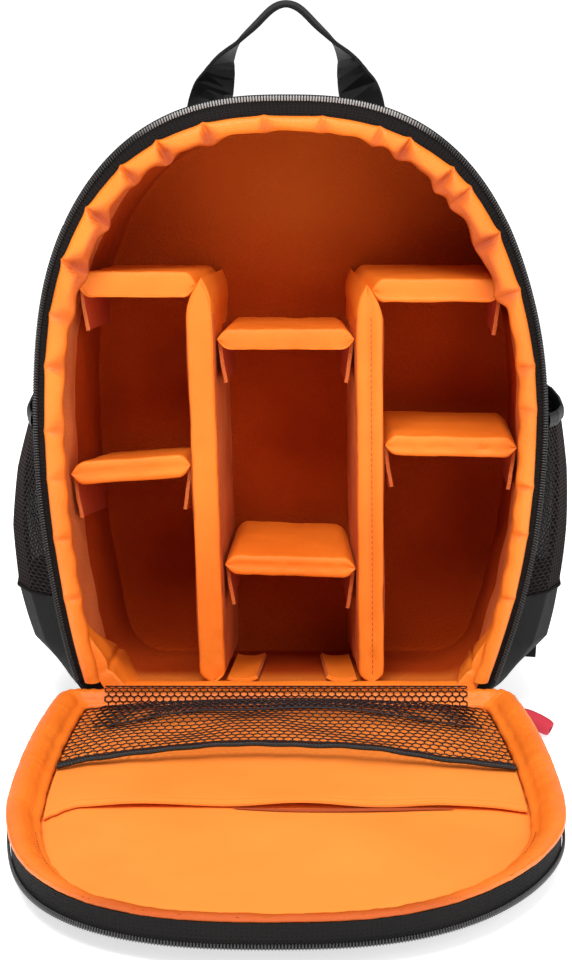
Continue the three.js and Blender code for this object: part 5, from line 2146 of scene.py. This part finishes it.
    def net_height(self, u: Array, v: Array) -> Array:
        """Returns how high the net stands over the slip pocket.

        Args:
            u: Places across, from -1 to 1.
            v: Shares of the way to the free edge.

        Returns:
            The heights.
        """
        lift = self.net_rise * (1 - u**2) * (0.8 + 0.2 * v)
        spot = np.stack([u * 115, v * 90, 0 * v], -1)
        folds = 1.1 * ripple(spot, 46, 51) * np.clip(v * 4, 0, 1) * (1 - u**4)
        crease = -0.8 * dip(v, 0.2 + 0.25 * u**2, 0.03) * (np.abs(u) < 0.85)
        return lift + np.minimum(folds, 0.6) + crease

    def make_net_pocket(self) -> None:
        """Knits the net in small six-sided cells and binds its mouth with elastic."""
        floor = SIZE.pad_top + 2 * SIZE.gap + 1.4

        def rule(u: Array, v: Array) -> Array:
            """Places the net.

            Args:
                u: Shares along it.
                v: Shares across it.

            Returns:
                The points.
            """
            across = 2 * u - 1
            z = floor + 0.5 + self.net_height(across, v).clip(0)
            return self.on_panel(across, v, self.reach(across, 1, self.net_reach), z)

        net = knit("pocket_net", *self.net_size, self.cell, rule, strand=self.strand)
        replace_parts(dress(net, "black_net", NET_BLACK), "net_pocket")

        def folded(u: Array, v: Array) -> Array:
            """Places the part of the net that is folded back on itself near the hinge.

            Args:
                u: Shares along it.
                v: Shares across it.

            Returns:
                The points.
            """
            across = self.fold_half * (2 * u - 1)
            place = 0.02 + v * (0.2 + 0.25 * across**2)
            z = floor + 1.6 + self.net_height(across, place).clip(0)
            return self.on_panel(across, place, self.reach(across, 1, self.net_reach), z)

        second = knit("pocket_net_fold", *self.fold_size, self.fold_cell, folded, strand=self.strand)
        dress(second, "black_net", NET_BLACK)

        def root(u: Array, v: Array) -> Array:
            """Places the net where it climbs over the roll to the hinge.

            Args:
                u: Shares along it.
                v: Shares across it.

            Returns:
                The points.
            """
            inset = 2.6 + 15 * v
            full = SIZE.lid_roll + SIZE.gap
            length = hinge_lift(inset)
            half = LID.half_at(np.full_like(u, float(hinge_lift(full)) + 1), full, hinge_lift(full)) - 0.6
            z = np.interp(v, [0, 0.2, 0.4, 0.6, 0.75, 1], [25.4, 26.4, 25.8, 23.4, 21.0, floor + 1])
            x = self.fold_half * (2 * u - 1) * half + tip_shift(length)
            return np.stack([x, SIZE.hinge - length, z], -1)

        rise = knit("pocket_net_root", *self.root_size, self.fold_cell, root, strand=self.strand)
        dress(rise, "black_net", NET_BLACK)
        across = np.linspace(-self.fold_half, self.fold_half, 200)
        place = 0.22 + 0.25 * across**2
        z = floor + 1.7 + self.net_height(across, place).clip(0)
        line = Route(self.on_panel(across, place, self.reach(across, 1, self.net_reach), z))
        dress(tube("pocket_net_crease", line, 0.6, step=2, sides=6), "black_net", NET_BLACK)

        def band(u: Array, v: Array) -> Array:
            """Places the elastic round the net's mouth.

            Args:
                u: Shares along it.
                v: Shares across it.

            Returns:
                The points.
            """
            across = 2 * u - 1
            turn = 2 * math.pi * v
            edge = self.on_panel(across, np.ones_like(u), self.reach(across, 1, self.net_reach), 0 * u)
            rise = self.net_height(across, np.ones_like(u)).clip(0)
            wave = 0.5 * np.sin(across * 34) + 0.3 * np.sin(across * 13 + 1)
            edge[:, 1] += self.band_half[0] * np.cos(turn) - self.band_set_back + wave * 0.6
            edge[:, 2] = floor + 1.7 + rise + self.band_half[1] * np.sin(turn) + 0.15 * wave
            return edge

        elastic = shaped("pocket_elastic", 220, 12, band, join=Join.AROUND)
        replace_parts(dress(elastic, "black_elastic", ELASTIC_BLACK), "net_band")


def knit(name: str, width: float, height: float, cell: float, rule: Rule, strand: float) -> bpy.types.Object:
    """Knits a net of six-sided cells and drapes it over a surface.

    Args:
        name: The new piece's name.
        width: Roughly the net's width in millimetres.
        height: Roughly its height.
        cell: The width of a cell.
        rule: Gives the points for u and v from 0 to 1.
        strand: The thickness of its strands.

    Returns:
        The net.
    """
    clear_selection()
    side = cell / math.sqrt(3)
    bpy.ops.mesh.primitive_circle_add(vertices=6, radius=side * MM, fill_type="NGON")
    net = bpy.context.object
    net.name = net.data.name = name
    columns = max(3, round(width / cell))
    rows = max(3, round(height / (3 * side)))
    with edit(net):
        bpy.ops.mesh.duplicate_move(TRANSFORM_OT_translate={"value": (0.5 * cell * MM, 1.5 * side * MM, 0)})
    for count, step in ((columns, (cell * MM, 0, 0)), (rows, (0, 3 * side * MM, 0))):
        apply_modifier(
            net,
            "ARRAY",
            count=count,
            use_relative_offset=False,
            use_constant_offset=True,
            constant_offset_displace=step,
        )
    with edit(net):
        bpy.ops.mesh.remove_doubles(threshold=0.05 * MM)
    flat = points_of(net)
    low, high = flat.min(axis=0), flat.max(axis=0)
    u = (flat[:, 0] - low[0]) / (high[0] - low[0])
    v = (flat[:, 1] - low[1]) / (high[1] - low[1])
    put_points(net, rule(u, v))
    apply_modifier(net, "WIREFRAME", thickness=strand * MM, use_even_offset=False, use_boundary=True)
    smooth(net, 60)
    return net


# Side pockets


@dataclass
class SidePocket:
    """A gusseted pocket: cloth below, net above, an elastic hem on top."""

    name: str
    side: int
    outs: tuple[float, ...]
    ups: tuple[float, ...] = (0, 0.02, 0.08, 0.18, 0.37, 0.6, 0.82, 1)
    alongs: tuple[float, ...] = (0, 0.1, 0.26, 0.5, 0.76, 0.92, 1)
    spans: tuple[float, ...] = (0, 0.6, 0.94, 1, 0.84, 0.45, 0)
    bottom: float = 17
    top: float = 164
    cloth_top: float = 72
    bulge: float = 21
    front: float = 9
    depth: float = 87
    net_size: tuple[float, float] = (92, 96)
    net_cell: float = 2.5
    net_strand: float = 0.9
    hem_half: tuple[float, float] = (1.15, 3.9)
    hem_middle: tuple[float, float] = (1.2, 4.3)
    seam_radius: float = 0.9

    def point(self, z: Array, along: Array, outwards: Array) -> Array:
        """Returns points of the pocket's wall.

        Args:
            z: The heights.
            along: Shares of the pocket's depth.
            outwards: How far outside the wall.

        Returns:
            The points, one row each.
        """
        depth = self.front + self.depth * along
        up = (z - self.bottom) / (self.top - self.bottom)
        out = self.bulge * np.interp(up, self.ups, self.outs) * np.interp(along, self.alongs, self.spans)
        x = body_x(self.side, z, depth, skin_inset(depth), 0) + self.side * (0.6 + out + outwards)
        return np.stack([x, SIZE.mouth + depth, z], -1)

    def build(self) -> None:
        """Makes the cloth, the net, the hem and the seam round them."""

        def cloth(u: Array, v: Array) -> Array:
            """Places the cloth's wall.

            Args:
                u: Shares along it.
                v: Shares across it.

            Returns:
                The points.
            """
            z = self.bottom + (self.cloth_top - self.bottom) * v
            spot = np.stack([0 * u, u * 87, z], -1)
            soft = 0.5 * ripple(spot, 26, 61) + 0.35 * ripple(spot * [1, 1, 0.3], 10, 62) * np.exp(-v * 4)
            return self.point(z, u, 0.8 + soft * np.sin(math.pi * u).clip(0))

        lower = shaped(f"pocket_cloth_{self.name}", 90, 60, cloth, thickness=1.2)
        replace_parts(dress(lower, "black_fabric", BLACK_NYLON), f"side_pocket_{self.name}")

        def net(u: Array, v: Array) -> Array:
            """Places the net's wall."""
            z = self.cloth_top - 1 + (self.top + 2 - self.cloth_top) * v
            return self.point(z, u, 0.7)

        upper = knit(f"pocket_net_{self.name}", *self.net_size, self.net_cell, net, strand=self.net_strand)
        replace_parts(dress(upper, "black_net", NET_BLACK), f"side_net_{self.name}")

        def backing(u: Array, v: Array) -> Array:
            """Places the fine weave behind the net."""
            return self.point(self.cloth_top - 1 + (self.top + 2 - self.cloth_top) * v, u, 0.1)

        sheer = shaped(f"pocket_weave_{self.name}", 40, 40, backing)
        dress(sheer, "black_net", SHEER_BLACK)

        def hem(u: Array, v: Array) -> Array:
            """Places the gathered elastic hem.

            Args:
                u: Shares along it.
                v: Shares across it.

            Returns:
                The points.
            """
            turn = 2 * math.pi * v
            edge = self.point(np.full_like(u, self.top), u, 0)
            gather = 0.35 * np.sin(u * 150)
            out = self.hem_middle[0] + self.hem_half[0] * np.cos(turn)
            edge[:, 0] += self.side * (out + gather * np.sin(math.pi * u).clip(0))
            edge[:, 2] = self.top + self.hem_middle[1] + self.hem_half[1] * np.sin(turn)
            return edge

        band = shaped(f"pocket_hem_band_{self.name}", 120, 14, hem, join=Join.AROUND)
        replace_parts(dress(band, "black_elastic", ELASTIC_BLACK), f"pocket_hem_{self.name}")
        z = np.full(60, self.cloth_top)
        along = np.linspace(0.02, 0.98, 60)
        route = Route(self.point(z, along, 1.5))
        seam = tube(f"pocket_seam_{self.name}", route, self.seam_radius, step=2, sides=6)
        dress(seam, "black_fabric", TAPE_BLACK)


# Handle, back and straps


@dataclass
class Carrying:
    """The handle, the back pad, the shoulder straps and their buckles."""

    channels: tuple[float, ...] = (120, 205)
    channel_width: float = 3.2
    channel_depth: float = 3.0
    spine_width: float = 5.5
    spine_depth: float = 2.0

    def build(self) -> None:
        """Makes the pieces in order."""
        self.make_handle()
        self.make_back_pad()
        for word in ("left", "right"):
            self.make_strap(word)

    def soften(
        self, node: str, name: str, slot: str, finish: Cloth, levels: int = 2, crease: float = 0.6
    ) -> bpy.types.Object:
        """Rounds a CAD node's copy and dresses it.

        Args:
            node: The CAD node that it stands for.
            name: The new piece's name.
            slot: The record's material slot.
            finish: Its finish.
            levels: Subdivision levels.
            crease: How sharp its edges stay.

        Returns:
            The new piece.
        """
        piece = copy_node(node, name, levels, crease)
        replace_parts(dress(piece, slot, finish), node)
        return piece

    def make_handle(self) -> None:
        """Rounds the twisted webbing handle."""
        self.soften("handle", "webbing_handle", "black_webbing", WEBBING_BLACK, 2, 0.8)

    def make_back_pad(self) -> None:
        """Crowns the back pad and sews two channels across it."""
        pad = copy_node("back_pad", "padded_back", 3, 0.3)
        points = points_of(pad)
        outer = np.clip((points[:, 1] - 58) / 4, 0, 1)
        for z in self.channels:
            points[:, 1] -= self.channel_depth * outer * dip(points[:, 2], z, self.channel_width)
        points[:, 1] -= self.spine_depth * outer * dip(points[:, 0], 0, self.spine_width)
        put_points(pad, points)
        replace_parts(dress(pad, "black_fabric", AIR_MESH), "back_pad")

    def make_strap(self, word: str) -> None:
        """Rounds one strap and dresses its buckle, webbing and cloth tab.

        Args:
            word: Which side: left or right.
        """
        strap = self.soften(f"strap_{word}", f"padded_strap_{word}", "black_fabric", AIR_MESH, 2, 0.3)
        self.soften(f"web_{word}", f"strap_webbing_{word}", "black_webbing", WEBBING_BLACK, 2, 0.8)
        self.soften(f"wing_{word}", f"strap_wing_{word}", "black_fabric", BLACK_NYLON, 3, 1.0)
        dress_node(f"buckle_{word}", BUCKLE_PLASTIC)


@dataclass
class Fasteners:
    """The two zip sliders and the moulded pull."""

    def build(self) -> None:
        """Dresses the sliders and rounds the pull."""
        for word in ("left", "right"):
            dress_node(f"zip_slider_{word}", SLIDER_METAL)
        pull = copy_node("zip_pull", "moulded_pull", 2, 0.4)
        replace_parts(dress(pull, "pull_rubber", PULL_RUBBER), "zip_pull")


def main() -> None:
    """Builds the studio and every sub-assembly in order."""
    logging.basicConfig(level=logging.INFO, format="%(message)s")
    Studio().build()
    for part in (
        Shell(),
        Compartment(),
        Boards(),
        FrontPanel(),
        SidePocket("left", -1, (0, 0.16, 0.36, 0.86, 0.97, 0.84, 0.52, 0.13)),
        SidePocket("right", 1, (0, 0.36, 0.6, 1.07, 0.96, 0.81, 0.62, 0.4)),
        Carrying(),
        Fasteners(),
    ):
        part.build()
        log.info("%s done", type(part).__name__)


if __name__ == "__main__":
    main()
